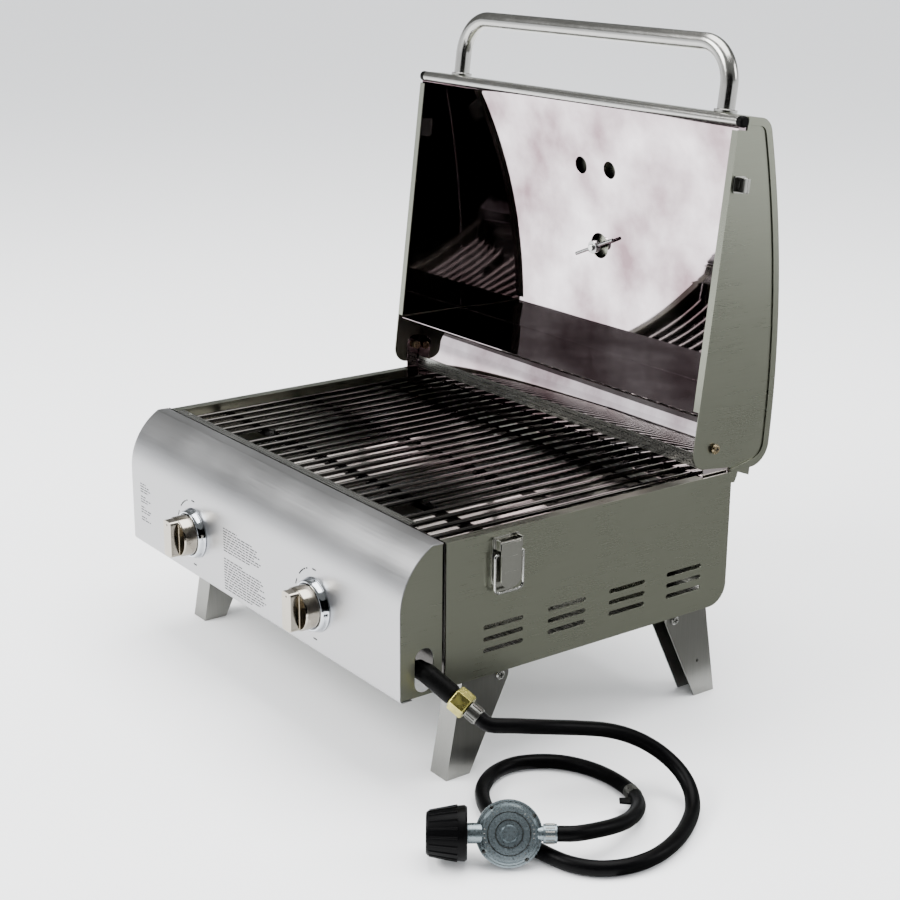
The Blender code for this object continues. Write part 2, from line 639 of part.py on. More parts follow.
LINER_OFFSET = 8.6
LINER_SHEET = 1.0
liner_full = lid_line(LINER_OFFSET, -16.5, 60.0)
liner_line = [p for p in liner_full if p[1] > 52.0] + [(71.0, 47.0), (-26.0, 36.0)]
peep_holes = []
for x in (-25.0, 25.0):
    peep_holes.append(rod((x, 20.0, 262.0), (x, 50.0, 267.0), 10.0, 16))
stem_hole = rod(dial_centre - dial_normal * 20, dial_centre - dial_normal * 3, 15.0, 20)
piece("lid_liner", mirror_steel, prism(band(liner_line, -LINER_SHEET), "X", -275.3, 275.3),
      cut=peep_holes + [stem_hole], parent=lid_frame)

PLATE_LOW = 275.7
PLATE_HIGH = 276.9
plate_inset = SKIN_SHEET + 0.5
plate_line = lid_line(plate_inset, -16.0, LID_RIM)
plate_outline = [(LID_RIM, 333.5), (-16.0, 333.5)] + plate_line[:-1] \
    + arc((LID_RIM + 18, LID_BACK + 18 + plate_inset), 18.0, -90.0, -180.0, 5)
KEEPER_Z = 279.0
for label, sign in SIDES:
    flange = box((268.0, PLATE_HIGH - 0.5), (LID_RIM, LID_RIM + SHEET), (40.0, 333.0))
    tab = prism([(30.0, -12.0), (44.0, -12.0), (41.5, -33.0), (39.0, -40.0), (32.0, -40.0), (31.0, -30.0)],
                "X", PLATE_LOW, PLATE_HIGH)
    stop_y = (BODY_BACK + 0.4 - LID_PIVOT_Y, BODY_BACK + 1.6 - LID_PIVOT_Y)
    stop = []
    for dy, dz in ((stop_y[0], -26.5), (stop_y[1], -26.5), (stop_y[1], -42.0), (stop_y[0], -42.0)):
        lean = radians(LID_LEAN)
        stop.append((dy * cos(lean) - dz * sin(lean), dy * sin(lean) + dz * cos(lean)))
    stop_tab = prism(stop, "X", 264.0, PLATE_HIGH - 0.3)
    pivot_hole = rod((270.0, 0.0, 0.0), (282.0, 0.0, 0.0), 3.3, 14)
    piece(f"lid_{label}_side", side_steel, flipped(prism(plate_outline, "X", PLATE_LOW, PLATE_HIGH), sign),
          add=[flipped(flange, sign), flipped(tab, sign), flipped(stop_tab, sign)],
          cut=[flipped(pivot_hole, sign)], parent=lid_frame)

    keeper = prism(fillet([(-26.0, KEEPER_Z - 9), (-9.0, KEEPER_Z - 9), (-9.0, KEEPER_Z + 9), (-26.0, KEEPER_Z + 9)],
                          {0: 3.0, 1: 3.0, 2: 3.0, 3: 3.0}, 3), "X", PLATE_HIGH + 0.4, PLATE_HIGH + 1.6)
    shelf = box((PLATE_HIGH + 1.0, 290.2), (-18.6, -17.4), (KEEPER_Z - 7.5, KEEPER_Z + 7.5))
    lip = box((289.0, 290.2), (-18.0, -15.0), (KEEPER_Z - 7.5, KEEPER_Z + 7.5))
    piece(f"{label}_latch_keeper", latch_steel, flipped(keeper, sign),
          add=[flipped(shelf, sign), flipped(lip, sign)], parent=lid_frame)

    bolt = lathe([(0, 0), (5.0, 0), (5.0, 4.6), (3.0, 4.6), (3.0, 10.8), (5.5, 10.8), (5.5, 12.4),
                  (4.0, 14.0), (0, 14.0)], (268.0, LID_PIVOT_Y, LID_PIVOT_Z), (1, 0, 0), 14)
    piece(f"{label}_lid_pivot_bolt", bolt_steel, flipped(bolt, sign))

    bracket = fillet([(341.0, 240.0), (377.6, 240.0), (377.6, 276.0), (367.0, 306.0), (341.0, 306.0)],
                     {0: 4.0, 1: 4.0, 2: 6.0, 3: 12.0, 4: 12.0}, 3)
    spacer = rod((274.5, 360.0, 251.0), (SIDE_INNER - GAP, 360.0, 251.0), 6.0, 12)
    piece(f"{label}_hinge_bracket", mirror_steel, flipped(prism(bracket, "X", 273.7, 275.2), sign),
          add=[flipped(spacer, sign)],
          cut=[flipped(rod((265.0, LID_PIVOT_Y, LID_PIVOT_Z), (280.0, LID_PIVOT_Y, LID_PIVOT_Z), 3.3, 14), sign)])

RAIL_RADIUS = 5.7
piece("lid_front_rail", handle_steel,
      rod((-272.0, RAIL_Y, RAIL_Z), (272.0, RAIL_Y, RAIL_Z), RAIL_RADIUS, 16), parent=lid_frame)
for label, sign in SIDES:
    plug = lathe([(0, 0), (6.0, 0), (6.0, 6.0), (4.6, 7.7), (0, 7.7)],
                 (272.3, RAIL_Y, RAIL_Z), (1, 0, 0), 14)
    piece(f"{label}_rail_plug", black_rubber, flipped(plug, sign), parent=lid_frame)

HANDLE_Y = -2.0
handle_base = LID_FACE + GAP
bend_centre_x = HANDLE_X - HANDLE_BEND
bend_z = HANDLE_Z - HANDLE_BEND
handle_path = [(-HANDLE_X, handle_base), (-HANDLE_X, handle_base + 3.0), (-HANDLE_X, handle_base + 3.2)]
handle_path += arc((-bend_centre_x, bend_z), HANDLE_BEND, 180.0, 90.0, 7)
handle_path += arc((bend_centre_x, bend_z), HANDLE_BEND, 90.0, 0.0, 7)
handle_path += [(HANDLE_X, handle_base + 3.2), (HANDLE_X, handle_base + 3.0), (HANDLE_X, handle_base)]
handle_radii = [12.5, 12.5] + [HANDLE_RADIUS] * (len(handle_path) - 4) + [12.5, 12.5]
piece("lid_handle", handle_steel, tube([(x, HANDLE_Y, z) for x, z in handle_path], handle_radii, 16),
      parent=lid_frame)

dial_profile = [(0, -24.0), (3.6, -24.0), (3.6, 0.5), (24.0, 0.5), (27.0, 2.0), (27.0, 9.0), (24.5, 11.0), (0, 11.0)]
piece("lid_thermometer", dial_steel, lathe(dial_profile, dial_centre, dial_normal, 28), parent=lid_frame)
nut_centre = dial_centre - dial_normal * 14.0
wing_tilt = radians(22.8)
wing = Vector((cos(wing_tilt), 0.0, sin(wing_tilt)))
nut_ring = [(4.0, 0.0), (7.5, 0.0), (7.5, 7.0), (4.0, 7.0)]
arm_centre = nut_centre - dial_normal * 3.5
piece("thermometer_wing_nut", stem_steel, lathe(nut_ring, nut_centre, -dial_normal, 14),
      add=[rod(arm_centre + wing * 5.5, arm_centre + wing * 33, 2.0, 10),
           rod(arm_centre - wing * 5.5, arm_centre - wing * 33, 2.0, 10)], parent=lid_frame)

# ---- latches --------------------------------------------------------------------------------

LEVER_HALF = 12.5
EAR_X = (281.0, 290.0)
for label, sign in SIDES:
    plate = fillet([(54.0, 199.0), (88.0, 199.0), (88.0, 258.0), (54.0, 258.0)],
                   {0: 15.0, 1: 15.0, 2: 3.0, 3: 3.0}, 4)
    ears = []
    for y in (LATCH_Y - LEVER_HALF - 1.9, LATCH_Y + LEVER_HALF + 0.5):
        ears.append(flipped(box(EAR_X, (y, y + 1.4), (246.0, 256.5)), sign))
    piece(f"{label}_latch_base", latch_steel, flipped(prism(plate, "X", 280.3, 281.5), sign), add=ears)

    shield = fillet([(LATCH_Y - LEVER_HALF, 206.0), (LATCH_Y + LEVER_HALF, 206.0),
                     (LATCH_Y + LEVER_HALF, 252.5), (LATCH_Y - LEVER_HALF, 252.5)],
                    {0: 10.0, 1: 10.0}, 4)
    barrel = rod((LATCH_AXIS_X, LATCH_Y - LEVER_HALF, LATCH_AXIS_Z),
                 (LATCH_AXIS_X, LATCH_Y + LEVER_HALF, LATCH_AXIS_Z), 2.8, 12)
    piece(f"{label}_latch_lever", latch_steel, flipped(prism(shield, "X", 289.4, 290.9), sign),
          add=[flipped(barrel, sign)], pivot=(LATCH_AXIS_X * sign, LATCH_Y, LATCH_AXIS_Z))

    low = BAIL_Z - BAIL_LENGTH
    bend = 6.0
    half = BAIL_HALF_WIDTH
    loop = fillet([(-13.2, BAIL_Z), (-half, BAIL_Z), (-half, low), (half, low), (half, BAIL_Z), (13.2, BAIL_Z)],
                  {1: 2.6, 2: bend, 3: bend, 4: 2.6}, 3, closed=False)
    piece(f"{label}_latch_bail", wire_steel,
          flipped(tube([(BAIL_X, LATCH_Y + y, z) for y, z in loop], BAIL_RADIUS, 8), sign),
          pivot=(BAIL_X * sign, LATCH_Y, BAIL_Z))

# ---- gas hose and its fittings ----------------------------------------------------------------

along = INLET_DIRECTION
SLEEVE_LENGTH = 28.0
NUT_LENGTH = 18.0
FERRULE_LENGTH = 14.0
sleeve_path = [(MANIFOLD_END_X + 0.4, MANIFOLD_Y, MANIFOLD_Z), (274.0, MANIFOLD_Y, MANIFOLD_Z),
               INLET_START - along * 6, INLET_START, INLET_START + along * (SLEEVE_LENGTH - 2),
               INLET_START + along * SLEEVE_LENGTH]
piece("hose_sleeve", black_rubber, tube(sleeve_path, [9.5, 9.5, 9.8, 10.2, 10.2, 9.0], 16))
nut_start = INLET_START + along * (SLEEVE_LENGTH + GAP)
piece("hose_union_nut", nut_yellow,
      lathe([(0, 0), (11.6, 0), (13.2, 1.4), (13.2, NUT_LENGTH - 1.4), (11.6, NUT_LENGTH), (0, NUT_LENGTH)],
            nut_start, along, 6), smooth=20.0)
ferrule_start = nut_start + along * (NUT_LENGTH + GAP)
piece("hose_inlet_ferrule", ferrule_steel,
      lathe([(0, 0), (7.9, 0), (8.5, 1.0), (8.5, FERRULE_LENGTH - 1), (7.9, FERRULE_LENGTH), (0, FERRULE_LENGTH)],
            ferrule_start, along, 16))

tilt = radians(REGULATOR_TILT)
across = Vector((REGULATOR_AXIS.y, -REGULATOR_AXIS.x, 0.0))
disc_axis = across * cos(tilt) + Vector((0, 0, 1)) * sin(tilt)
disc_profile = [(0, -15.0), (12.0, -15.0), (21.0, -10.0), (23.0, -5.0), (31.0, -4.0), (31.0, 4.0), (27.0, 5.2),
                (25.0, 9.0), (16.0, 11.0), (8.0, 11.0), (7.0, 13.0), (0, 13.0)]
OUTLET_END = 44.0
piece("regulator", regulator_zinc, lathe(disc_profile, REGULATOR_CENTRE, disc_axis, 32),
      add=[tube([REGULATOR_CENTRE - REGULATOR_AXIS * 38, REGULATOR_CENTRE - REGULATOR_AXIS * 10], 9.5, 14),
           tube([REGULATOR_CENTRE + REGULATOR_AXIS * 10, REGULATOR_CENTRE + REGULATOR_AXIS * 34], 7.0, 14),
           tube([REGULATOR_CENTRE + REGULATOR_AXIS * 31.5, REGULATOR_CENTRE + REGULATOR_AXIS * OUTLET_END], 9.0, 16)])
wheel_start = REGULATOR_CENTRE - REGULATOR_AXIS * (38 + 0.4)
wheel_profile = [(0, 0), (24.0, 0), (25.6, 2.5), (25.0, 10.0), (20.5, 36.0), (18.5, 38.0), (0, 38.0)]
piece("regulator_handwheel", wheel_plastic, lathe(wheel_profile, wheel_start, -REGULATOR_AXIS, 24),
      pivot=tuple(wheel_start))

# The hose leaves the inlet ferrule, drops to the ground, sweeps out and back in a loop and
# rises to the regulator's outlet.
hose_start = ferrule_start + along * (FERRULE_LENGTH + GAP)
hose_end = REGULATOR_CENTRE + REGULATOR_AXIS * (OUTLET_END + GAP)
route = [hose_start, hose_start + along * 4, hose_start + along * 9, (354, 33, 92.5), (362, 63, 86), (366.5, 97, 77),
         (371, 130, 67), (379, 150.5, 59), (391, 167, 49.5), (406, 178, 39), (425.5, 182, 28), (445, 177, 18),
         (462, 164, 10.5), (480, 139, HOSE_REST_Z), (496, 107, HOSE_REST_Z), (504, 73, HOSE_REST_Z),
         (501, 43, HOSE_REST_Z), (488, 19, HOSE_REST_Z), (467, 4, HOSE_REST_Z), (438, -3, HOSE_REST_Z),
         (404, -6, HOSE_REST_Z), (367, -3, HOSE_REST_Z), (334, 8, HOSE_REST_Z), (308, 26, HOSE_REST_Z),
         (291, 51, HOSE_REST_Z), (286, 79, HOSE_REST_Z), (294, 103, HOSE_REST_Z), (311, 124, HOSE_REST_Z),
         (336, 138, HOSE_REST_Z), (367, 144, HOSE_REST_Z), (398, 141, HOSE_REST_Z), (425, 127, 9.5),
         (446, 99, 14.5), (458, 65, 22), hose_end + REGULATOR_AXIS * 14 + Vector((0.8, 3.0, -0.4)),
         hose_end + REGULATOR_AXIS * 5, hose_end]


def smooth_route(points, step):
    """Evenly spaced points on a centripetal curve through the given ones, with a short
    straight stub at each end."""
    knots = [Vector(p) for p in points]
    knots = [knots[0] * 2 - knots[1]] + knots + [knots[-1] * 2 - knots[-2]]
    dense = []
    for a, b, c, d in zip(knots, knots[1:], knots[2:], knots[3:]):
        ta = 0.0
        tb = ta + (b - a).length ** 0.5
        tc = tb + (c - b).length ** 0.5
        td = tc + (d - c).length ** 0.5
        for k in range(16):
            t = tb + (tc - tb) * k / 16
            ab = a.lerp(b, (t - ta) / (tb - ta))
            bc = b.lerp(c, (t - tb) / (tc - tb))
            cd = c.lerp(d, (t - tc) / (td - tc))
            abc = ab.lerp(bc, (t - ta) / (tc - ta))
            bcd = bc.lerp(cd, (t - tb) / (td - tb))
            dense.append(abc.lerp(bcd, (t - tb) / (tc - tb)))
    dense.append(knots[-2])
    lengths = [0.0]
    for here, after in zip(dense, dense[1:]):
        lengths.append(lengths[-1] + (after - here).length)
    count = round(lengths[-1] / step)
    targets = [lengths[-1] * i / count for i in range(count + 1)]
    targets[1:1] = [END_STUB]
    targets[-1:-1] = [lengths[-1] - END_STUB]
    result = []
    index = 0
    for target in targets:
        while index < len(lengths) - 2 and lengths[index + 1] < target:
            index += 1
        part = (target - lengths[index]) / (lengths[index + 1] - lengths[index])
        result.append(dense[index].lerp(dense[index + 1], min(1.0, part)))
    return result


hose_points = smooth_route(route, HOSE_STEP)
curve = bpy.data.curves.new("gas_hose", "CURVE")
curve.dimensions = "3D"
curve.bevel_depth = HOSE_RADIUS * MM
curve.bevel_resolution = 2
curve.use_fill_caps = True
spline = curve.splines.new("POLY")
spline.points.add(len(hose_points) - 1)
for point, place in zip(spline.points, hose_points):
    point.co = (place.x * MM, (place.y + SHIFT_Y) * MM, place.z * MM, 1.0)
hose = bpy.data.objects.new("gas_hose", curve)
hose.data.materials.append(hose_rubber)
bpy.context.scene.collection.objects.link(hose)
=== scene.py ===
"""Folding camp grill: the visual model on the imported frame, lit as in a studio."""
import json
from math import acos, atan2, cos, degrees, hypot, pi, radians, sin, tan

import bmesh
import bpy
from mathutils import Matrix, Vector


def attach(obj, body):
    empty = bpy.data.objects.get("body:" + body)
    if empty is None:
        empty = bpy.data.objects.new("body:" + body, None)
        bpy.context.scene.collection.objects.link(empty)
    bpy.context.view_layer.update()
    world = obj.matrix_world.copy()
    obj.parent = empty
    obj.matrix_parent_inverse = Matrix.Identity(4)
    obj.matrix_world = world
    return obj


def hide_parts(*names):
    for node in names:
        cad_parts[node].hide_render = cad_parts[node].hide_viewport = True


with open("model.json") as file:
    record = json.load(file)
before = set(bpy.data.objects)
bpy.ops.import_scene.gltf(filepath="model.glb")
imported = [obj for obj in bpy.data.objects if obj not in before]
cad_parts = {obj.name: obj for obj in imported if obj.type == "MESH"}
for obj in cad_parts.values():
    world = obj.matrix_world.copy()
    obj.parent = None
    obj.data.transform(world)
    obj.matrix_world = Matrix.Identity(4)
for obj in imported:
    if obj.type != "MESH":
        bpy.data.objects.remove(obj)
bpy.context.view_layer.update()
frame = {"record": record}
BODY_OF = {node: body for body, nodes in frame["record"]["behaviour"]["bodies"].items() for node in nodes}

MM = 0.001
SHIFT_Y = -180.06
GAP = 0.3
SHEET = 1.2

# Firebox
HALF_WIDTH = 280.0
SIDE_INNER = HALF_WIDTH - SHEET
BODY_BACK = 379.4
FLOOR_Z = 112.4
TOP_Z = 263.5
SHELL_BEND = 24.0
VENT_GROUP_Y = (70.6, 152.7, 234.5, 315.3)
VENT_ROW_Z = (139.7, 152.0, 164.5)
VENT_LENGTH = 50.0
VENT_HEIGHT = 5.2

# Burners, valves and controls
BURNER_X = 128.0
BURNER_Z = 182.0
BURNER_RADIUS = 12.5
KNOB_Z = 162.5
PANEL_FRONT_Y = -54.5
PANEL_BOTTOM_Z = 110.0
PANEL_TOP_Z = 265.0
PANEL_ARC_CENTRE = (20.6, 200.0)
PANEL_ARC_RADIUS = 75.1
KNOB_RADIUS = 23.5
STEM_RADIUS = 4.0
MANIFOLD_Y = -25.0
MANIFOLD_Z = 136.0

# Cooking grate
ROD_RADIUS = 3.0
ROD_COUNT = 26
ROD_PITCH = 20.67
ROD_Z = 253.3
SHORT_RODS = (5, 20)
GRATE_BAR_Y = (16.0, 70.0, 184.0, 298.0, 351.0)

# Legs
LEG_PIVOT_Y = (79.0, 319.5)
LEG_PIVOT_Z = 100.5
LEG_INNER_X = 237.0
LEG_OUTER_X = 264.5
LEG_SHEET = 1.5
LEG_EYE_RADIUS = 11.6
LEG_SHOULDER = 46.0
LEG_FOOT_OUTER = 66.3
LEG_FOOT_INNER = 36.5

# Lid, in its own frame: Z runs from the hinge to the handle, Y is the depth
LID_PIVOT_Y = 353.2
LID_PIVOT_Z = 293.4
LID_LEAN = 6.7
LID_FACE = 347.7
LID_RIM = -29.0
LID_BACK = -24.0
LID_CROWN_START = (333.0, 19.7)
LID_CROWN_END = (5.0, 82.0)
LID_CROWN = 12.5
LID_HALF_WIDTH = 278.4
THERMOMETER_U = 175.0
HANDLE_X = 229.0
HANDLE_Z = 417.0
HANDLE_RADIUS = 9.5
HANDLE_BEND = 43.0
RAIL_Y = -23.5
RAIL_Z = 342.0

# Latches
LATCH_Y = 71.0
LATCH_AXIS_X = 287.5
LATCH_AXIS_Z = 251.0
BAIL_X = 287.0
BAIL_Z = 241.0
BAIL_HALF_WIDTH = 17.5
BAIL_LENGTH = 40.0
BAIL_RADIUS = 1.5

# Gas line
HOSE_RADIUS = 7.5
HOSE_REST_Z = 7.9
INLET_START = Vector((287.0, -21.7, 132.6))
INLET_DIRECTION = Vector((0.786, 0.367, -0.498)).normalized()
REGULATOR_CENTRE = Vector((422.0, -31.0, 29.6))
REGULATOR_AXIS = Vector((0.591, 0.806, 0.0)).normalized()
REGULATOR_TILT = 28.0
END_STUB = 4.5


SIDES = (("left", -1.0), ("right", 1.0))


# ---- outlines -------------------------------------------------------------------

FINE = 3


def finer(sides):
    """Twice the sides of a round piece; a hexagon stays a hexagon."""
    return sides if sides < 8 else sides * 2


def arc(centre, radius, start, end, steps):
    """Points on a circle from one angle to another, in degrees."""
    steps *= FINE
    points = []
    for i in range(steps + 1):
        angle = radians(start + (end - start) * i / steps)
        points.append((centre[0] + radius * cos(angle), centre[1] + radius * sin(angle)))
    return points


def bow(start, end, rise, steps):
    """A shallow arc between two points, bulging to the right of the way it runs."""
    steps *= FINE
    points = []
    length = hypot(end[0] - start[0], end[1] - start[1])
    along = ((end[0] - start[0]) / length, (end[1] - start[1]) / length)
    for i in range(steps + 1):
        t = i / steps
        lift = 4 * rise * t * (1 - t)
        x = start[0] + along[0] * length * t + along[1] * lift
        y = start[1] + along[1] * length * t - along[0] * lift
        points.append((x, y))
    return points


def fillet(points, corners, steps=4, closed=True):
    """Round the listed corners of an outline; corners maps a point's index to a radius."""
    count = len(points)
    result = []
    for i, point in enumerate(points):
        radius = corners.get(i, 0)
        if not radius or (not closed and i in (0, count - 1)):
            result.append(point)
            continue
        here = Vector(point)
        before = (Vector(points[i - 1]) - here).normalized()
        after = (Vector(points[(i + 1) % count]) - here).normalized()
        half = acos(max(-1.0, min(1.0, before.dot(after)))) / 2
        bisector = (before + after).normalized()
        centre = here + bisector * (radius / sin(half))
        start = here + before * (radius / tan(half)) - centre
        end = here + after * (radius / tan(half)) - centre
        a0 = atan2(start.y, start.x)
        sweep = (atan2(end.y, end.x) - a0 + pi) % (2 * pi) - pi
        result += arc(centre, radius, degrees(a0), degrees(a0 + sweep), steps)
    return result


def offset(points, distance, closed=False):
    """The line moved sideways, to the left of the way it runs."""
    count = len(points)
    result = []
    for i in range(count):
        here = Vector(points[i])
        prev_index = i - 1 if (closed or i > 0) else None
        next_index = (i + 1) % count if (closed or i < count - 1) else None
        into = (here - Vector(points[prev_index])).normalized() if prev_index is not None else None
        out = (Vector(points[next_index]) - here).normalized() if next_index is not None else None
        into = into or out
        out = out or into
        normal = (Vector((-into.y, into.x)) + Vector((-out.y, out.x))).normalized()
        reach = distance / max(0.3, normal.dot(Vector((-into.y, into.x))))
        result.append(tuple(here + normal * reach))
    return result


def band(points, thickness):
    """The outline of a sheet that follows a line; a positive thickness lies to its left."""
    return list(points) + list(reversed(offset(points, thickness)))


# ---- solids: each is a list of points and a list of faces -------------------------

def prism(outline, axis, low, high):
    """An outline pushed along X (of y, z), Y (of x, z) or Z (of x, y)."""
    place = {
        "X": lambda p, t: (t, p[0], p[1]),
        "Y": lambda p, t: (p[0], t, p[1]),
        "Z": lambda p, t: (p[0], p[1], t),
    }[axis]
    count = len(outline)
    verts = [place(p, low) for p in outline] + [place(p, high) for p in outline]
    faces = [tuple(range(count)), tuple(range(2 * count - 1, count - 1, -1))]
    for i in range(count):
        j = (i + 1) % count
        faces.append((i, j, count + j, count + i))
    return verts, faces


def box(x_range, y_range, z_range):
    outline = [(x_range[0], y_range[0]), (x_range[1], y_range[0]),
               (x_range[1], y_range[1]), (x_range[0], y_range[1])]
    return prism(outline, "Z", z_range[0], z_range[1])


def skin_rings(rings, closed_ends=True):
    """Join rings of equal size into one closed solid."""
    size = len(rings[0])
    verts = [tuple(p) for ring in rings for p in ring]
    faces = []
    for k in range(len(rings) - 1):
        a = k * size
        b = a + size
        for i in range(size):
            j = (i + 1) % size
            faces.append((a + i, a + j, b + j, b + i))
    if closed_ends:
        faces.append(tuple(range(size)))
        faces.append(tuple(range(len(verts) - 1, len(verts) - size - 1, -1)))
    else:
        last = (len(rings) - 1) * size
        for i in range(size):
            j = (i + 1) % size
            faces.append((last + i, last + j, j, i))
    return verts, faces


def tube(points, radii, sides=16):
    """A round bar through a line of points, with a radius at each of them."""
    sides = finer(sides)
    path = [Vector(p) for p in points]
    if not hasattr(radii, "__len__"):
        radii = [radii] * len(path)
    rings = []
    side = None
    last = len(path) - 1
    for i, here in enumerate(path):
        along = path[min(i + 1, last)] - path[max(i - 1, 0)]
        if 0 < i < last:
            along = (path[i + 1] - here).normalized() + (here - path[i - 1]).normalized()
        along.normalize()
        if side is None:
            side = along.orthogonal()
        side = (side - along * side.dot(along)).normalized()
        other = along.cross(side)
        stretch = 1.0
        if 0 < i < last:
            stretch = 1.0 / max(0.5, along.dot((path[i + 1] - here).normalized()))
        ring = []
        for k in range(sides):
            angle = 2 * pi * k / sides
            reach = radii[i] * (stretch if 0 < i < last and stretch < 1.2 else 1.0)
            ring.append(here + reach * (cos(angle) * side + sin(angle) * other))
        rings.append(ring)
    return skin_rings(rings)


def rod(start, end, radius, sides=16):
    return tube([start, end], radius, sides)


def lathe(profile, centre, axis, sides=32):
    """A turned solid. The profile is (radius, height along the axis) from pole to pole,
    or a closed loop when neither end lies on the axis."""
    sides = finer(sides)
    axis = Vector(axis).normalized()
    side = axis.orthogonal().normalized()
    other = axis.cross(side)
    centre = Vector(centre)
    verts = []
    rows = []
    for radius, height in profile:
        base = centre + axis * height
        if radius == 0:
            rows.append([len(verts)] * sides)
            verts.append(tuple(base))
            continue
        rows.append(list(range(len(verts), len(verts) + sides)))
        for k in range(sides):
            angle = 2 * pi * k / sides
            verts.append(tuple(base + radius * (cos(angle) * side + sin(angle) * other)))
    faces = []
    pairs = list(zip(rows, rows[1:]))
    if profile[0][0] != 0:
        pairs.append((rows[-1], rows[0]))
    for first, second in pairs:
        for k in range(sides):
            j = (k + 1) % sides
            corners = []
            for index in (first[k], first[j], second[j], second[k]):
                if index not in corners:
                    corners.append(index)
            if len(corners) > 2:
                faces.append(tuple(corners))
    return verts, faces


def flipped(shape, sign):
    """The same solid on the other side of X = 0 when sign is -1."""
    return [(x * sign, y, z) for x, y, z in shape[0]], shape[1]


def slot_outline(centre, length, height, steps=4, upright=False):
    """A round-ended slot."""
    half = (length - height) / 2
    points = arc((half, 0), height / 2, -90, 90, steps) + arc((-half, 0), height / 2, 90, 270, steps)
    if upright:
        points = [(-y, x) for x, y in points]
    return [(centre[0] + x, centre[1] + y) for x, y in points]


def rounded(low, high, radius, steps):
    """A rectangle with four equal round corners, from its lowest corner to its highest."""
    corners = [low, (high[0], low[1]), high, (low[0], high[1])]
    return fillet(corners, {0: radius, 1: radius, 2: radius, 3: radius}, steps)


# ---- camera -------------------------------------------------------------------------

camera_data = bpy.data.cameras.new("camera")
camera_data.lens = 70.07
camera_data.sensor_width = 36.0
camera_data.clip_end = 100.0
camera = bpy.data.objects.new("camera", camera_data)
bpy.context.scene.collection.objects.link(camera)
view_right = Vector((0.59140, 0.80635, 0.00704))
view_up = Vector((-0.24768, 0.17333, 0.95321))
view_back = Vector((0.76740, -0.56547, 0.30222))
camera.matrix_world = Matrix((
    (view_right.x, view_up.x, view_back.x, 1.5388),
    (view_right.y, view_up.y, view_back.y, -0.9244 + SHIFT_Y * MM),
    (view_right.z, view_up.z, view_back.z, 0.8521),
    (0.0, 0.0, 0.0, 1.0)))
bpy.context.scene.camera = camera
bpy.context.view_layer.update()

# ---- materials ------------------------------------------------------------------------


def new_material(name):
    mat = bpy.data.materials.new(name)
    mat.use_nodes = True
    return mat, mat.node_tree.nodes, mat.node_tree.links, mat.node_tree.nodes["Principled BSDF"]


def noise(nodes, links, scale, grain, detail=3.0, rotation=(0.0, 0.0, 0.0)):
    """Noise in the piece's own coordinates, stretched by the grain's three scales."""
    coords = nodes.new("ShaderNodeTexCoord")
    mapping = nodes.new("ShaderNodeMapping")
    mapping.inputs["Scale"].default_value = grain
    mapping.inputs["Rotation"].default_value = rotation
    texture = nodes.new("ShaderNodeTexNoise")
    texture.inputs["Scale"].default_value = scale
    texture.inputs["Detail"].default_value = detail
    links.new(coords.outputs["Object"], mapping.inputs["Vector"])
    links.new(mapping.outputs["Vector"], texture.inputs["Vector"])
    return texture.outputs["Fac"]


def ranged(nodes, links, value, low, high, from_low=0.3, from_high=0.7):
    node = nodes.new("ShaderNodeMapRange")
    node.inputs["From Min"].default_value = from_low
    node.inputs["From Max"].default_value = from_high
    node.inputs["To Min"].default_value = low
    node.inputs["To Max"].default_value = high
    links.new(value, node.inputs["Value"])
    return node.outputs["Result"]


def tinted(nodes, links, value, dark, light):
    ramp = nodes.new("ShaderNodeValToRGB")
    ramp.color_ramp.elements[0].position = 0.3
    ramp.color_ramp.elements[0].color = (*dark, 1.0)
    ramp.color_ramp.elements[1].position = 0.7
    ramp.color_ramp.elements[1].color = (*light, 1.0)
    links.new(value, ramp.inputs["Fac"])
    return ramp.outputs["Color"]


def shade(colour, factor):
    return tuple(min(1.0, c * factor) for c in colour)


def metal(name, colour, roughness, grain=(1.0, 1.0, 1.0), grain_scale=400.0, spread=0.10,
          contrast=0.10, bump=0.05, smudge=0.06):
    """Metal with a grain along one direction and faint handling marks."""
    mat, nodes, links, shader = new_material(name)
    shader.inputs["Metallic"].default_value = 1.0
    lines = noise(nodes, links, grain_scale, grain, 4.0)
    marks = noise(nodes, links, 9.0, (1.0, 1.0, 1.0), 5.0)
    tone = nodes.new("ShaderNodeMath")
    tone.operation = "ADD"
    half = nodes.new("ShaderNodeMath")
    half.operation = "MULTIPLY"
    half.inputs[1].default_value = 0.5
    links.new(lines, tone.inputs[0])
    links.new(marks, tone.inputs[1])
    links.new(tone.outputs[0], half.inputs[0])
    colours = tinted(nodes, links, half.outputs[0], shade(colour, 1 - contrast), shade(colour, 1 + contrast))
    links.new(colours, shader.inputs["Base Color"])
    rough_lines = ranged(nodes, links, lines, roughness - spread / 2, roughness + spread / 2)
    rough_marks = ranged(nodes, links, marks, -smudge / 2, smudge / 2)
    total = nodes.new("ShaderNodeMath")
    total.operation = "ADD"
    total.use_clamp = True
    links.new(rough_lines, total.inputs[0])
    links.new(rough_marks, total.inputs[1])
    links.new(total.outputs[0], shader.inputs["Roughness"])
    if bump:
        node = nodes.new("ShaderNodeBump")
        node.inputs["Strength"].default_value = bump
        node.inputs["Distance"].default_value = 0.0004
        links.new(lines, node.inputs["Height"])
        links.new(node.outputs["Normal"], shader.inputs["Normal"])
    return mat


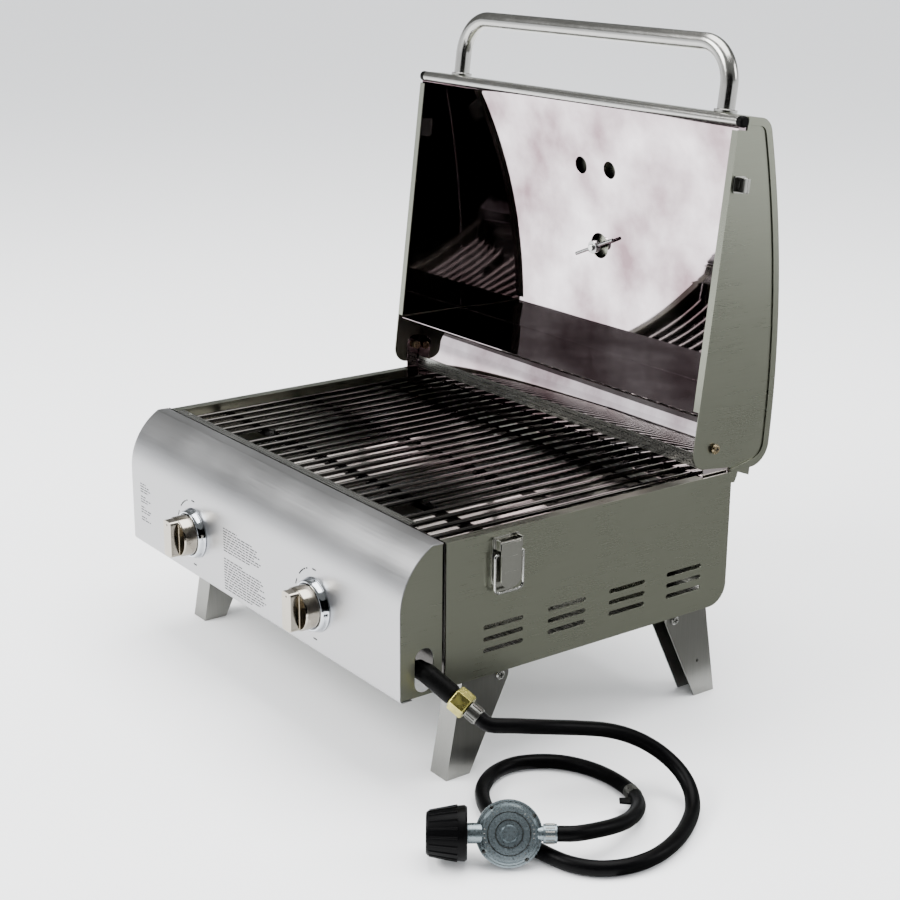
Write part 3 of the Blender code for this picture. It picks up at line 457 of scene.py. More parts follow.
def matte(name, colour, roughness, scale=220.0, bump=0.15, contrast=0.25, metallic=0.0, distance=0.0006,
          specular=0.5):
    mat, nodes, links, shader = new_material(name)
    shader.inputs["Specular IOR Level"].default_value = specular
    shader.inputs["Metallic"].default_value = metallic
    grain = noise(nodes, links, scale, (1.0, 1.0, 1.0), 5.0)
    links.new(tinted(nodes, links, grain, shade(colour, 1 - contrast), shade(colour, 1 + contrast)),
              shader.inputs["Base Color"])
    links.new(ranged(nodes, links, grain, roughness - 0.08, roughness + 0.08), shader.inputs["Roughness"])
    node = nodes.new("ShaderNodeBump")
    node.inputs["Strength"].default_value = bump
    node.inputs["Distance"].default_value = distance
    links.new(grain, node.inputs["Height"])
    links.new(node.outputs["Normal"], shader.inputs["Normal"])
    return mat


def wavy_mirror(name, colour, roughness, wave=0.0012):
    """Polished sheet that is not quite flat, with faint smears."""
    mat, nodes, links, shader = new_material(name)
    shader.inputs["Metallic"].default_value = 1.0
    smears = noise(nodes, links, 13.0, (1.0, 1.0, 1.0), 6.0)
    rosy = (colour[0] * 0.55, colour[1] * 0.42, colour[2] * 0.45)
    links.new(tinted(nodes, links, smears, rosy, shade(colour, 1.6)), shader.inputs["Base Color"])
    links.new(ranged(nodes, links, smears, roughness, roughness + 0.02), shader.inputs["Roughness"])
    swell = noise(nodes, links, 7.0, (1.0, 1.0, 0.7), 1.0)
    node = nodes.new("ShaderNodeBump")
    node.inputs["Strength"].default_value = 0.35
    node.inputs["Distance"].default_value = wave
    links.new(swell, node.inputs["Height"])
    links.new(node.outputs["Normal"], shader.inputs["Normal"])
    return mat


ALONG_X = (0.02, 1.0, 1.0)
ALONG_Y = (1.0, 0.02, 1.0)
ALONG_Z = (1.0, 1.0, 0.02)
NO_GRAIN = (1.0, 1.0, 1.0)
# The same stainless as the control panel, given a darker olive base colour: painted shade and painted reflection on
# the side sheets, the panel caps and the lid's outer skin.
side_steel = metal("side_steel", (0.29, 0.30, 0.245), 0.30, ALONG_Y, 900.0, spread=0.05,
                   contrast=0.04, bump=0.012)
panel_steel = metal("panel_steel", (0.42, 0.42, 0.425), 0.34, ALONG_X, 900.0, spread=0.05, contrast=0.04,
                    bump=0.015)
mirror_steel = wavy_mirror("mirror_steel", (0.50, 0.455, 0.47), 0.015)
shell_steel = metal("shell_steel", (0.36, 0.36, 0.335), 0.26, ALONG_X, 700.0)
leg_steel = metal("leg_steel", (0.24, 0.24, 0.225), 0.34, ALONG_Z, 700.0)
handle_steel = metal("handle_steel", (0.42, 0.415, 0.395), 0.22, NO_GRAIN, 150.0, spread=0.04,
                     contrast=0.04, bump=0.0)
# Near-black base colour on steel that is bright in itself: painted reflection of the dark surroundings and painted
# shade inside the firebox, used on the grate rods and the firebox front panel.
rod_steel = metal("rod_steel", (0.05, 0.047, 0.044), 0.13, ALONG_Y, 300.0, spread=0.10, contrast=0.35)
burner_steel = metal("burner_steel", (0.24, 0.22, 0.19), 0.42, ALONG_Y, 260.0, contrast=0.25)
tent_steel = metal("tent_steel", (0.24, 0.225, 0.21), 0.28, ALONG_Y, 400.0, contrast=0.2)
tray_steel = metal("tray_steel", (0.32, 0.32, 0.31), 0.34, ALONG_X, 500.0)
knob_nickel = metal("knob_nickel", (0.42, 0.385, 0.325), 0.16, ALONG_Z, 500.0, spread=0.06, bump=0.03)
bezel_chrome = metal("bezel_chrome", (0.56, 0.59, 0.63), 0.10, NO_GRAIN, 300.0, spread=0.04, bump=0.0)
valve_brass = matte("valve_brass", (0.60, 0.46, 0.22), 0.38, 300.0, metallic=1.0)
stem_steel = metal("stem_steel", (0.52, 0.52, 0.52), 0.30, ALONG_Y, 400.0, bump=0.02)
pipe_steel = metal("pipe_steel", (0.45, 0.45, 0.44), 0.38, ALONG_X, 400.0)
screw_steel = metal("screw_steel", (0.42, 0.42, 0.40), 0.26, NO_GRAIN, 500.0, bump=0.02)
bolt_steel = metal("bolt_steel", (0.40, 0.32, 0.20), 0.28, NO_GRAIN, 500.0, bump=0.02)
latch_steel = metal("latch_steel", (0.40, 0.40, 0.37), 0.20, ALONG_Z, 700.0)
wire_steel = metal("wire_steel", (0.45, 0.45, 0.43), 0.18, ALONG_Z, 500.0, bump=0.0)
black_rubber = matte("black_rubber", (0.0012, 0.0012, 0.0012), 0.45, 500.0, specular=0.06)
hose_rubber = matte("hose_rubber", (0.001, 0.001, 0.0012), 0.38, 700.0, bump=0.2, specular=0.06)
nut_yellow = matte("nut_yellow", (0.52, 0.47, 0.14), 0.26, 90.0, bump=0.05, contrast=0.35, metallic=1.0)
ferrule_steel = metal("ferrule_steel", (0.14, 0.14, 0.13), 0.30, ALONG_Z, 400.0)
regulator_zinc = matte("regulator_zinc", (0.17, 0.205, 0.22), 0.30, 500.0, bump=0.12, contrast=0.10,
                       metallic=0.85)
wheel_plastic = matte("wheel_plastic", (0.001, 0.001, 0.0012), 0.38, 600.0, specular=0.06)
dial_steel = metal("dial_steel", (0.66, 0.66, 0.65), 0.24, NO_GRAIN, 500.0, bump=0.0)
# Near-black: painted shade in the screw recesses and the burner ports, and the colour of the small dark dots and
# marks.
shade_and_mark_dark = matte("shade_and_mark_dark", (0.004, 0.004, 0.004), 0.8, 300.0, bump=0.05, specular=0.1)
print_dark = matte("print_dark", (0.006, 0.006, 0.007), 0.6, 300.0, bump=0.02, specular=0.1)
dial_white = matte("dial_white", (0.80, 0.80, 0.78), 0.45, 300.0, bump=0.02, contrast=0.05)

SLOT_OF = {row["node"]: row["material_slot"] for row in frame["record"]["subparts"]}

# ---- making a visual piece ----------------------------------------------------------------

LID_MATRIX = Matrix.Translation((0.0, (LID_PIVOT_Y + SHIFT_Y) * MM, LID_PIVOT_Z * MM)) \
    @ Matrix.Rotation(radians(-LID_LEAN), 4, "X")
BODY_MATRIX = Matrix.Translation((0.0, SHIFT_Y * MM, 0.0))
lid_frame = "lid"


def mesh_object(name, shape, place):
    mesh = bpy.data.meshes.new(name)
    mesh.from_pydata([(x * MM, y * MM, z * MM) for x, y, z in shape[0]], [], shape[1])
    mesh.transform(place)
    bm = bmesh.new()
    bm.from_mesh(mesh)
    bmesh.ops.recalc_face_normals(bm, faces=bm.faces)
    if bm.calc_volume(signed=True) < 0:
        bmesh.ops.reverse_faces(bm, faces=bm.faces)
    bm.to_mesh(mesh)
    bm.free()
    obj = bpy.data.objects.new(name, mesh)
    bpy.context.scene.collection.objects.link(obj)
    return obj


def combine(obj, shapes, operation, place):
    tools = []
    for i, shape in enumerate(shapes):
        tool = mesh_object(f"{obj.name}_{operation.lower()}_{i}", shape, place)
        modifier = obj.modifiers.new(operation.title(), "BOOLEAN")
        modifier.operation = operation
        modifier.solver = "EXACT"
        modifier.object = tool
        tools.append(tool)
    bpy.context.view_layer.update()
    depsgraph = bpy.context.evaluated_depsgraph_get()
    result = bpy.data.meshes.new_from_object(obj.evaluated_get(depsgraph))
    obj.modifiers.clear()
    obj.data = result
    for tool in tools:
        bpy.data.objects.remove(tool, do_unlink=True)


def finish_piece(obj, mat, bevel, smooth):
    obj.data.materials.clear()
    obj.data.materials.append(mat)
    if bevel:
        modifier = obj.modifiers.new("Bevel", "BEVEL")
        modifier.width = bevel * MM
        modifier.segments = 2
        modifier.limit_method = "ANGLE"
        modifier.angle_limit = radians(38)
        modifier.harden_normals = False
    obj.data.shade_smooth()
    obj.data.set_sharp_from_angle(angle=radians(smooth))
    if bevel:
        weighted = obj.modifiers.new("Weighted", "WEIGHTED_NORMAL")
        weighted.keep_sharp = True


def detail(name, mat, shape, body, slot=None, add=(), cut=(), parent=None, smooth=38.0, bevel=0.2):
    """A visible piece on its body. The lid's pieces are built closed and turned with it."""
    place = BODY_MATRIX if parent is None else LID_MATRIX
    obj = mesh_object(name, shape, place)
    if add:
        combine(obj, add, "UNION", place)
    if cut:
        combine(obj, cut, "DIFFERENCE", place)
    finish_piece(obj, mat, bevel, smooth)
    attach(obj, body)
    return obj


def piece(name, mat, shape, add=(), cut=(), parent=None, smooth=38.0, bevel=0.25):
    """The finer shape of a CAD node, in its place and on its body."""
    obj = detail(f"{name}_skin", mat, shape, BODY_OF[name], SLOT_OF[name], add, cut, parent, smooth, bevel)
    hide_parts(name)
    return obj


# ---- firebox ----------------------------------------------------------------------

side_outline = fillet([(0.0, FLOOR_Z), (BODY_BACK, FLOOR_Z), (BODY_BACK, TOP_Z), (0.0, TOP_Z)],
                      {1: SHELL_BEND})
side_flange = box((268.0, SIDE_INNER + 0.5), (0.4, 338.0), (TOP_Z - SHEET, TOP_Z))
vents = []
for group_y in VENT_GROUP_Y:
    for row_z in VENT_ROW_Z:
        hole = slot_outline((group_y, row_z), VENT_LENGTH, VENT_HEIGHT, 3)
        vents.append(prism(hole, "X", SIDE_INNER - 3, HALF_WIDTH + 3))
for label, sign in SIDES:
    piece(f"firebox_{label}_side", side_steel,
          flipped(prism(side_outline, "X", SIDE_INNER, HALF_WIDTH), sign),
          add=[flipped(side_flange, sign)], cut=[flipped(vent, sign) for vent in vents])

SHELL_X = SIDE_INNER - GAP
EAR_OUTER_X = 261.0
EAR_INNER_X = 240.0
EAR_BOTTOM_Z = 92.0
TRAY_SLOT_X = 202.0
TRAY_SLOT_Z = (137.4, 160.0)
shell_line = fillet([(0.0, FLOOR_Z), (BODY_BACK, FLOOR_Z), (BODY_BACK, TOP_Z - 1.8)],
                    {1: SHELL_BEND}, closed=False)
shell_parts = []
shell_cuts = [box((-TRAY_SLOT_X, TRAY_SLOT_X), (BODY_BACK - 4, BODY_BACK + 4), TRAY_SLOT_Z)]
for sign in (-1.0, 1.0):
    for pivot_y in LEG_PIVOT_Y:
        ear = fillet([(pivot_y - 10, FLOOR_Z + 0.5), (pivot_y - 10, EAR_BOTTOM_Z),
                      (pivot_y + 10, EAR_BOTTOM_Z), (pivot_y + 10, FLOOR_Z + 0.5)], {1: 9.0, 2: 9.0}, 3)
        for low, high in ((EAR_INNER_X, EAR_INNER_X + SHEET), (EAR_OUTER_X - SHEET, EAR_OUTER_X)):
            shell_parts.append(flipped(prism(ear, "X", low, high), sign))
        shell_cuts.append(flipped(rod((EAR_INNER_X - 4, pivot_y, LEG_PIVOT_Z),
                                      (EAR_OUTER_X + 1.2, pivot_y, LEG_PIVOT_Z), 2.8, 12), sign))
    rail = box((186.0, 192.0), (24.0, 350.0), (FLOOR_Z + 0.6, TRAY_SLOT_Z[0] + 0.6))
    shell_parts.append(flipped(rail, sign))
piece("firebox_shell", shell_steel, prism(band(shell_line, SHEET), "X", -SHELL_X, SHELL_X),
      add=shell_parts, cut=shell_cuts)

burner_holes = []
for sign in (-1.0, 1.0):
    burner_holes.append(rod((BURNER_X * sign, -8.0, BURNER_Z), (BURNER_X * sign, 4.0, BURNER_Z),
                            BURNER_RADIUS + 1.0, 24))
# The firebox front panel takes the near-black rod steel: painted shade.
piece("firebox_front_panel", rod_steel, box((-HALF_WIDTH, HALF_WIDTH), (-2.4, -1.2), (FLOOR_Z, 265.0)),
      cut=burner_holes)

SHIELD_LEFT_X = -267.0
SHIELD_RIGHT_X = 214.0
LEDGE_Z = 244.0
shield_line = [(11.0, TOP_Z), (0.3, TOP_Z), (0.3, LEDGE_Z - SHEET), (20.0, LEDGE_Z - SHEET)]
piece("front_heat_shield", shell_steel,
      prism(band(shield_line, SHEET), "X", SHIELD_LEFT_X, SHIELD_RIGHT_X),
      cut=[rod((-244.0, 7.0, TOP_Z - 4), (-244.0, 7.0, TOP_Z + 4), 2.2, 10)])

GUARD_X = 272.0
guard_line = [(343.0, LEDGE_Z), (358.0, LEDGE_Z), (358.0, 280.0), (362.5, 306.0),
              (366.0, 316.5), (378.8, 316.5), (378.8, TOP_Z + 0.6)]
guard_line = list(reversed(guard_line))
piece("rear_guard", mirror_steel, prism(band(guard_line, SHEET), "X", -GUARD_X, GUARD_X))

# ---- control panel ------------------------------------------------------------------

panel_arc = arc(PANEL_ARC_CENTRE, PANEL_ARC_RADIUS, 119.7, 180.0, 12)
panel_front = [(-3.5, PANEL_TOP_Z)] + panel_arc
panel_line = panel_front + fillet([panel_arc[-1], (PANEL_FRONT_Y, PANEL_BOTTOM_Z), (-40.0, PANEL_BOTTOM_Z)],
                                  {1: 4.0}, 3, closed=False)[1:]
STEM_HOLE = 10.0
panel_holes = []
for sign in (-1.0, 1.0):
    panel_holes.append(rod((BURNER_X * sign, PANEL_FRONT_Y - 4, KNOB_Z),
                           (BURNER_X * sign, PANEL_FRONT_Y + 6, KNOB_Z), STEM_HOLE, 20))
piece("control_panel", panel_steel, prism(band(panel_line, SHEET), "X", -HALF_WIDTH, HALF_WIDTH),
      cut=panel_holes)

cap_outline = offset(panel_line, SHEET + GAP) + [(-3.8, PANEL_BOTTOM_Z + SHEET + GAP)]
INLET_HOLE = (-25.0, 138.0)
inlet_hole = slot_outline(INLET_HOLE, 46.0, 22.0, 6, upright=True)
for label, sign in SIDES:
    cap_cut = [prism(inlet_hole, "X", 270.0, 290.0)] if sign > 0 else []
    piece(f"control_panel_{label}_cap", side_steel,
          flipped(prism(cap_outline, "X", SIDE_INNER - SHEET, SIDE_INNER), sign), cut=cap_cut)

# ---- knobs, valves and burners --------------------------------------------------------

KNOB_BACK_Y = -59.5
KNOB_FRONT_Y = -78.0
GRIP_FRONT_Y = -88.0
STEM_FRONT_Y = -74.0
POCKET_RADIUS = 21.4
POCKET_INNER = 9.6
POCKET_DEPTH = 9.0
for label, sign in SIDES:
    x = BURNER_X * sign
    forward = (0.0, -1.0, 0.0)
    bezel_profile = [(24.3, 0.3), (29.0, 0.3), (29.0, 1.2), (28.2, 2.2), (27.6, 5.0), (26.9, 7.2),
                     (25.9, 8.5), (24.6, 8.5), (24.3, 8.1)]
    piece(f"{label}_knob_bezel", bezel_chrome,
          lathe(bezel_profile, (x, PANEL_FRONT_Y, KNOB_Z), forward, 36))

    knob_body = lathe([(0, 0), (KNOB_RADIUS - 1, 0), (KNOB_RADIUS, 1.2), (KNOB_RADIUS - 0.6, 16.5),
                       (KNOB_RADIUS - 2.2, 18.5), (0, 18.5)], (x, KNOB_BACK_Y, KNOB_Z), forward, 36)
    grip = rounded((x - 8.5, KNOB_Z - 21.0), (x + 8.5, KNOB_Z + 21.0), 3.5, 3)
    stem_bore = rod((x, KNOB_BACK_Y + 5, KNOB_Z), (x, STEM_FRONT_Y - 0.4, KNOB_Z), STEM_RADIUS + GAP, 16)
    pockets = []
    reach = degrees(acos(POCKET_INNER / POCKET_RADIUS))
    for side in (-1.0, 1.0):
        pocket = arc((0.0, 0.0), POCKET_RADIUS, -reach, reach, 5)
        pockets.append(prism([(x + side * u, KNOB_Z + v) for u, v in pocket], "Y",
                             KNOB_FRONT_Y - 1.5, KNOB_FRONT_Y + POCKET_DEPTH))
    piece(f"{label}_knob", knob_nickel, knob_body,
          add=[prism(grip, "Y", KNOB_FRONT_Y + 3, GRIP_FRONT_Y)], cut=[stem_bore] + pockets, bevel=0.45)
    piece(f"{label}_valve_stem", stem_steel,
          rod((x, -41.0, KNOB_Z), (x, STEM_FRONT_Y, KNOB_Z), STEM_RADIUS, 16))

    valve_body = rod((x, -14.0, KNOB_Z), (x, -45.0, KNOB_Z), 13.0, 20)
    elbow = box((x - 8, x + 8), (-26.0, -15.0), (KNOB_Z, BURNER_Z + 8))
    nozzle = rod((x, -20.0, BURNER_Z), (x, -3.0, BURNER_Z), 4.5, 12)
    inlet = box((x - 7, x + 7), (-32.0, -18.0), (MANIFOLD_Z + 6.5 + GAP, KNOB_Z))
    piece(f"{label}_gas_valve", valve_brass, valve_body, add=[elbow, nozzle, inlet],
          cut=[rod((x, -35.0, KNOB_Z), (x, -50.0, KNOB_Z), STEM_RADIUS + GAP, 16)])

    burner_profile = [(0, 0), (BURNER_RADIUS, 0), (BURNER_RADIUS, 338), (BURNER_RADIUS - 2, 338),
                      (BURNER_RADIUS - 2, 2), (0, 2)]
    piece(f"{label}_burner", burner_steel, lathe(burner_profile, (x, 330.0, BURNER_Z), forward, 20))
    tent_line = [(x + 45.0, 203.0), (x, 228.0), (x - 45.0, 203.0)]
    piece(f"{label}_heat_tent", tent_steel, prism(band(tent_line, 1.0), "Y", 6.0, 352.0))

MANIFOLD_END_X = 268.0
manifold_path = [(-140.0, MANIFOLD_Y, MANIFOLD_Z), (MANIFOLD_END_X, MANIFOLD_Y, MANIFOLD_Z)]
piece("gas_manifold", pipe_steel, tube(manifold_path, 6.5, 14))

# ---- cooking grate --------------------------------------------------------------------

GRATE_FRONT_Y = 13.0
GRATE_BACK_Y = 355.0
GRATE_HALF_X = 266.0
bars = [box((-GRATE_HALF_X, GRATE_HALF_X), (y - 3, y + 3), (LEDGE_Z + 0.4, ROD_Z - 1.6)) for y in GRATE_BAR_Y]
rods = []
for i in range(ROD_COUNT):
    x = (i - (ROD_COUNT - 1) / 2) * ROD_PITCH
    start = GRATE_BAR_Y[1] if i in SHORT_RODS else GRATE_FRONT_Y
    rods.append(rod((x, start, ROD_Z), (x, GRATE_BACK_Y, ROD_Z), ROD_RADIUS, 8))
# The rods' near-black colour is painted reflection and painted shade.
piece("cooking_grate", rod_steel, bars[0], add=rods + bars[1:])

# ---- grease tray ------------------------------------------------------------------------

TRAY_HALF_X = 200.0
TRAY_FRONT_Y = 8.0
TRAY_BOTTOM_Z = 138.4
TRAY_TOP_Z = 157.0
tray_pan = box((-TRAY_HALF_X, TRAY_HALF_X), (TRAY_FRONT_Y, 380.4), (TRAY_BOTTOM_Z, TRAY_TOP_Z))
tray_hollow = box((-TRAY_HALF_X + 1.2, TRAY_HALF_X - 1.2), (TRAY_FRONT_Y + 1.2, 377.0),
                  (TRAY_BOTTOM_Z + 1.2, TRAY_TOP_Z + 5))
tray_front = box((-TRAY_HALF_X - 7, TRAY_HALF_X + 7), (BODY_BACK + 0.4, BODY_BACK + 1.6), (134.0, 164.0))
tray_lip = box((-40.0, 40.0), (BODY_BACK + 1.0, BODY_BACK + 12.0), (162.0, 163.2))
piece("grease_tray", tray_steel, tray_pan, add=[tray_front, tray_lip], cut=[tray_hollow])

# ---- legs -------------------------------------------------------------------------------

reach = hypot(LEG_FOOT_INNER, LEG_PIVOT_Z)
tangent = degrees(atan2(-LEG_PIVOT_Z, LEG_FOOT_INNER) - acos(LEG_EYE_RADIUS / reach)) % 360
leg_eye = arc((0.0, LEG_PIVOT_Z), LEG_EYE_RADIUS, 90.0, tangent, 8)
leg_outline = [(LEG_SHOULDER, LEG_PIVOT_Z + LEG_EYE_RADIUS)] + leg_eye \
    + [(LEG_FOOT_INNER, 0.0), (LEG_FOOT_OUTER, 0.0)]
slope = (LEG_FOOT_OUTER - LEG_SHOULDER) / (LEG_PIVOT_Z + LEG_EYE_RADIUS)
web_top = LEG_SHOULDER - LEG_SHEET - 10 * slope
web_bottom = LEG_FOOT_OUTER - LEG_SHEET + 10 * slope
leg_hollow_outline = [(web_top, LEG_PIVOT_Z + LEG_EYE_RADIUS + 10), (web_bottom, -10.0),
                      (-40.0, -10.0), (-40.0, LEG_PIVOT_Z + LEG_EYE_RADIUS + 10)]


def leg_shape(outline, low, high, end, sign):
    """A leg section, reaching forwards on the front legs and backwards on the rear ones."""
    pivot_y, outward = ((LEG_PIVOT_Y[0], -1.0), (LEG_PIVOT_Y[1], 1.0))[end]
    placed = [(pivot_y + outward * s, z) for s, z in outline]
    return flipped(prism(placed, "X", low, high), sign)


for end, end_label in enumerate(("front", "rear")):
    for label, sign in SIDES:
        pivot_y = LEG_PIVOT_Y[end]
        cuts = [leg_shape(leg_hollow_outline, LEG_INNER_X + LEG_SHEET, LEG_OUTER_X - LEG_SHEET, end, sign)]
        for low in (LEG_INNER_X - 2, LEG_OUTER_X - 4):
            bore = rod((low, pivot_y, LEG_PIVOT_Z), (low + 6, pivot_y, LEG_PIVOT_Z), 2.8, 12)
            cuts.append(flipped(bore, sign))
        if end == 1:
            small_hole = rod((LEG_OUTER_X - 4, 358.0, 42.6), (LEG_OUTER_X + 4, 358.0, 42.6), 2.0, 10)
            cuts.append(flipped(small_hole, sign))
        piece(f"{end_label}_{label}_leg", leg_steel,
              leg_shape(leg_outline, LEG_INNER_X, LEG_OUTER_X, end, sign), cut=cuts)
        screw = lathe([(0, 0), (2.5, 0), (2.5, 29.0), (5.0, 29.0), (5.0, 30.6), (3.6, 31.8), (0, 31.8)],
                      (LEG_OUTER_X + GAP - 29.0, pivot_y, LEG_PIVOT_Z), (1, 0, 0), 12)
        piece(f"{end_label}_{label}_leg_screw", screw_steel, flipped(screw, sign))

# ---- lid ----------------------------------------------------------------------------------

def lid_line(inset, front_start, back_end):
    """The lid's outline in (Y, Z), moved inwards: up the front, over the crown, down the back."""
    crown = [(y, z) for z, y in bow(LID_CROWN_START, LID_CROWN_END, LID_CROWN, 8)]
    front_corner = (14.5, LID_FACE)
    back_corner = (83.0, LID_BACK)
    line = fillet([(LID_RIM, LID_FACE), front_corner] + crown + [back_corner, (LID_RIM, LID_BACK)],
                  {1: 18.0, len(crown) + 2: 26.0}, 5, closed=False)
    line = offset(line, -inset)
    line[0] = (front_start, line[0][1])
    line[-1] = (back_end, line[-1][1])
    return line


SKIN_SHEET = 1.1
SKIN_FLANGE = 8.5
skin_line = lid_line(0.0, -17.0, 58.0)
inner_lines = {depth: offset(skin_line, -depth) for depth in (0.0, SKIN_SHEET, SKIN_FLANGE)}
skin_section = [(-LID_HALF_WIDTH, SKIN_FLANGE), (-LID_HALF_WIDTH, 0.0),
                (LID_HALF_WIDTH, 0.0), (LID_HALF_WIDTH, SKIN_FLANGE),
                (LID_HALF_WIDTH - SKIN_SHEET, SKIN_FLANGE), (LID_HALF_WIDTH - SKIN_SHEET, SKIN_SHEET),
                (-LID_HALF_WIDTH + SKIN_SHEET, SKIN_SHEET), (-LID_HALF_WIDTH + SKIN_SHEET, SKIN_FLANGE)]
skin_rows = []
for i in range(len(skin_line)):
    skin_rows.append([(x, *inner_lines[depth][i]) for x, depth in skin_section])
crown_y = 19.7 + (82.0 - 19.7) * (333.0 - THERMOMETER_U) / 328.0 + LID_CROWN * 1.0
dial_normal = Vector((0.0, cos(radians(10.8)), sin(radians(10.8))))
dial_centre = Vector((0.0, crown_y, THERMOMETER_U))
dial_hole = rod(dial_centre - dial_normal * 6, dial_centre + dial_normal * 6, 4.3, 14)
piece("lid_skin", side_steel, skin_rings(skin_rows), cut=[dial_hole], parent=lid_frame)

LINER_OFFSET = 8.6
LINER_SHEET = 1.0
liner_full = lid_line(LINER_OFFSET, -16.5, 60.0)
liner_line = [p for p in liner_full if p[1] > 52.0] + [(71.0, 47.0), (-26.0, 36.0)]
peep_holes = []
for x in (-25.0, 25.0):
    peep_holes.append(rod((x, 20.0, 262.0), (x, 50.0, 267.0), 10.0, 16))
stem_hole = rod(dial_centre - dial_normal * 20, dial_centre - dial_normal * 3, 15.0, 20)
piece("lid_liner", mirror_steel, prism(band(liner_line, -LINER_SHEET), "X", -275.3, 275.3),
      cut=peep_holes + [stem_hole], parent=lid_frame)

PLATE_LOW = 275.7
PLATE_HIGH = 276.9
plate_inset = SKIN_SHEET + 0.5
plate_line = lid_line(plate_inset, -16.0, LID_RIM)
plate_outline = [(LID_RIM, 333.5), (-16.0, 333.5)] + plate_line[:-1] \
    + arc((LID_RIM + 18, LID_BACK + 18 + plate_inset), 18.0, -90.0, -180.0, 5)
KEEPER_Z = 279.0
for label, sign in SIDES:
    flange = box((268.0, PLATE_HIGH - 0.5), (LID_RIM, LID_RIM + SHEET), (40.0, 333.0))
    tab = prism([(30.0, -12.0), (44.0, -12.0), (41.5, -33.0), (39.0, -40.0), (32.0, -40.0), (31.0, -30.0)],
                "X", PLATE_LOW, PLATE_HIGH)
    stop_y = (BODY_BACK + 0.4 - LID_PIVOT_Y, BODY_BACK + 1.6 - LID_PIVOT_Y)
    stop = []
    for dy, dz in ((stop_y[0], -26.5), (stop_y[1], -26.5), (stop_y[1], -42.0), (stop_y[0], -42.0)):
        lean = radians(LID_LEAN)
        stop.append((dy * cos(lean) - dz * sin(lean), dy * sin(lean) + dz * cos(lean)))
    stop_tab = prism(stop, "X", 264.0, PLATE_HIGH - 0.3)
    pivot_hole = rod((270.0, 0.0, 0.0), (282.0, 0.0, 0.0), 3.3, 14)
    piece(f"lid_{label}_side", side_steel, flipped(prism(plate_outline, "X", PLATE_LOW, PLATE_HIGH), sign),
          add=[flipped(flange, sign), flipped(tab, sign), flipped(stop_tab, sign)],
          cut=[flipped(pivot_hole, sign)], parent=lid_frame)

    keeper = prism(rounded((-26.0, KEEPER_Z - 9), (-9.0, KEEPER_Z + 9), 3.0, 3),
                   "X", PLATE_HIGH + 0.4, PLATE_HIGH + 1.6)
    shelf = box((PLATE_HIGH + 1.0, 290.2), (-18.6, -17.4), (KEEPER_Z - 7.5, KEEPER_Z + 7.5))
    lip = box((289.0, 290.2), (-18.0, -15.0), (KEEPER_Z - 7.5, KEEPER_Z + 7.5))
    piece(f"{label}_latch_keeper", latch_steel, flipped(keeper, sign),
          add=[flipped(shelf, sign), flipped(lip, sign)], parent=lid_frame)

    bolt = lathe([(0, 0), (5.0, 0), (5.0, 4.6), (3.0, 4.6), (3.0, 10.8), (5.5, 10.8), (5.5, 12.4),
                  (4.0, 14.0), (0, 14.0)], (268.0, LID_PIVOT_Y, LID_PIVOT_Z), (1, 0, 0), 14)
    piece(f"{label}_lid_pivot_bolt", bolt_steel, flipped(bolt, sign))

    bracket = fillet([(341.0, 240.0), (377.6, 240.0), (377.6, 276.0), (367.0, 306.0), (341.0, 306.0)],
                     {0: 4.0, 1: 4.0, 2: 6.0, 3: 12.0, 4: 12.0}, 3)
    bolt_hole = rod((265.0, LID_PIVOT_Y, LID_PIVOT_Z), (280.0, LID_PIVOT_Y, LID_PIVOT_Z), 3.3, 14)
    spacer = rod((274.5, 360.0, 251.0), (SIDE_INNER - GAP, 360.0, 251.0), 6.0, 12)
    piece(f"{label}_hinge_bracket", mirror_steel, flipped(prism(bracket, "X", 273.7, 275.2), sign),
          add=[flipped(spacer, sign)],
          cut=[flipped(bolt_hole, sign)])

RAIL_RADIUS = 5.7
piece("lid_front_rail", handle_steel,
      rod((-272.0, RAIL_Y, RAIL_Z), (272.0, RAIL_Y, RAIL_Z), RAIL_RADIUS, 16), parent=lid_frame)
for label, sign in SIDES:
    plug = lathe([(0, 0), (6.0, 0), (6.0, 6.0), (4.6, 7.7), (0, 7.7)],
                 (272.3, RAIL_Y, RAIL_Z), (1, 0, 0), 14)
    piece(f"{label}_rail_plug", black_rubber, flipped(plug, sign), parent=lid_frame)

HANDLE_Y = -2.0
handle_base = LID_FACE + GAP
bend_centre_x = HANDLE_X - HANDLE_BEND
bend_z = HANDLE_Z - HANDLE_BEND
handle_path = [(-HANDLE_X, handle_base), (-HANDLE_X, handle_base + 3.0), (-HANDLE_X, handle_base + 3.2)]
handle_path += arc((-bend_centre_x, bend_z), HANDLE_BEND, 180.0, 90.0, 7)
handle_path += arc((bend_centre_x, bend_z), HANDLE_BEND, 90.0, 0.0, 7)
handle_path += [(HANDLE_X, handle_base + 3.2), (HANDLE_X, handle_base + 3.0), (HANDLE_X, handle_base)]
handle_radii = [12.5, 12.5] + [HANDLE_RADIUS] * (len(handle_path) - 4) + [12.5, 12.5]
piece("lid_handle", handle_steel, tube([(x, HANDLE_Y, z) for x, z in handle_path], handle_radii, 16),
      parent=lid_frame)

dial_profile = [(0, -24.0), (3.6, -24.0), (3.6, 0.5), (24.0, 0.5), (27.0, 2.0), (27.0, 9.0),
                (24.5, 11.0), (0, 11.0)]
piece("lid_thermometer", dial_steel, lathe(dial_profile, dial_centre, dial_normal, 28), parent=lid_frame)
nut_centre = dial_centre - dial_normal * 14.0
wing_tilt = radians(22.8)
wing = Vector((cos(wing_tilt), 0.0, sin(wing_tilt)))
nut_ring = [(4.0, 0.0), (7.5, 0.0), (7.5, 7.0), (4.0, 7.0)]
arm_centre = nut_centre - dial_normal * 3.5
piece("thermometer_wing_nut", stem_steel, lathe(nut_ring, nut_centre, -dial_normal, 14),
      add=[rod(arm_centre + wing * 5.5, arm_centre + wing * 33, 2.0, 10),
           rod(arm_centre - wing * 5.5, arm_centre - wing * 33, 2.0, 10)], parent=lid_frame)

# ---- latches --------------------------------------------------------------------------------

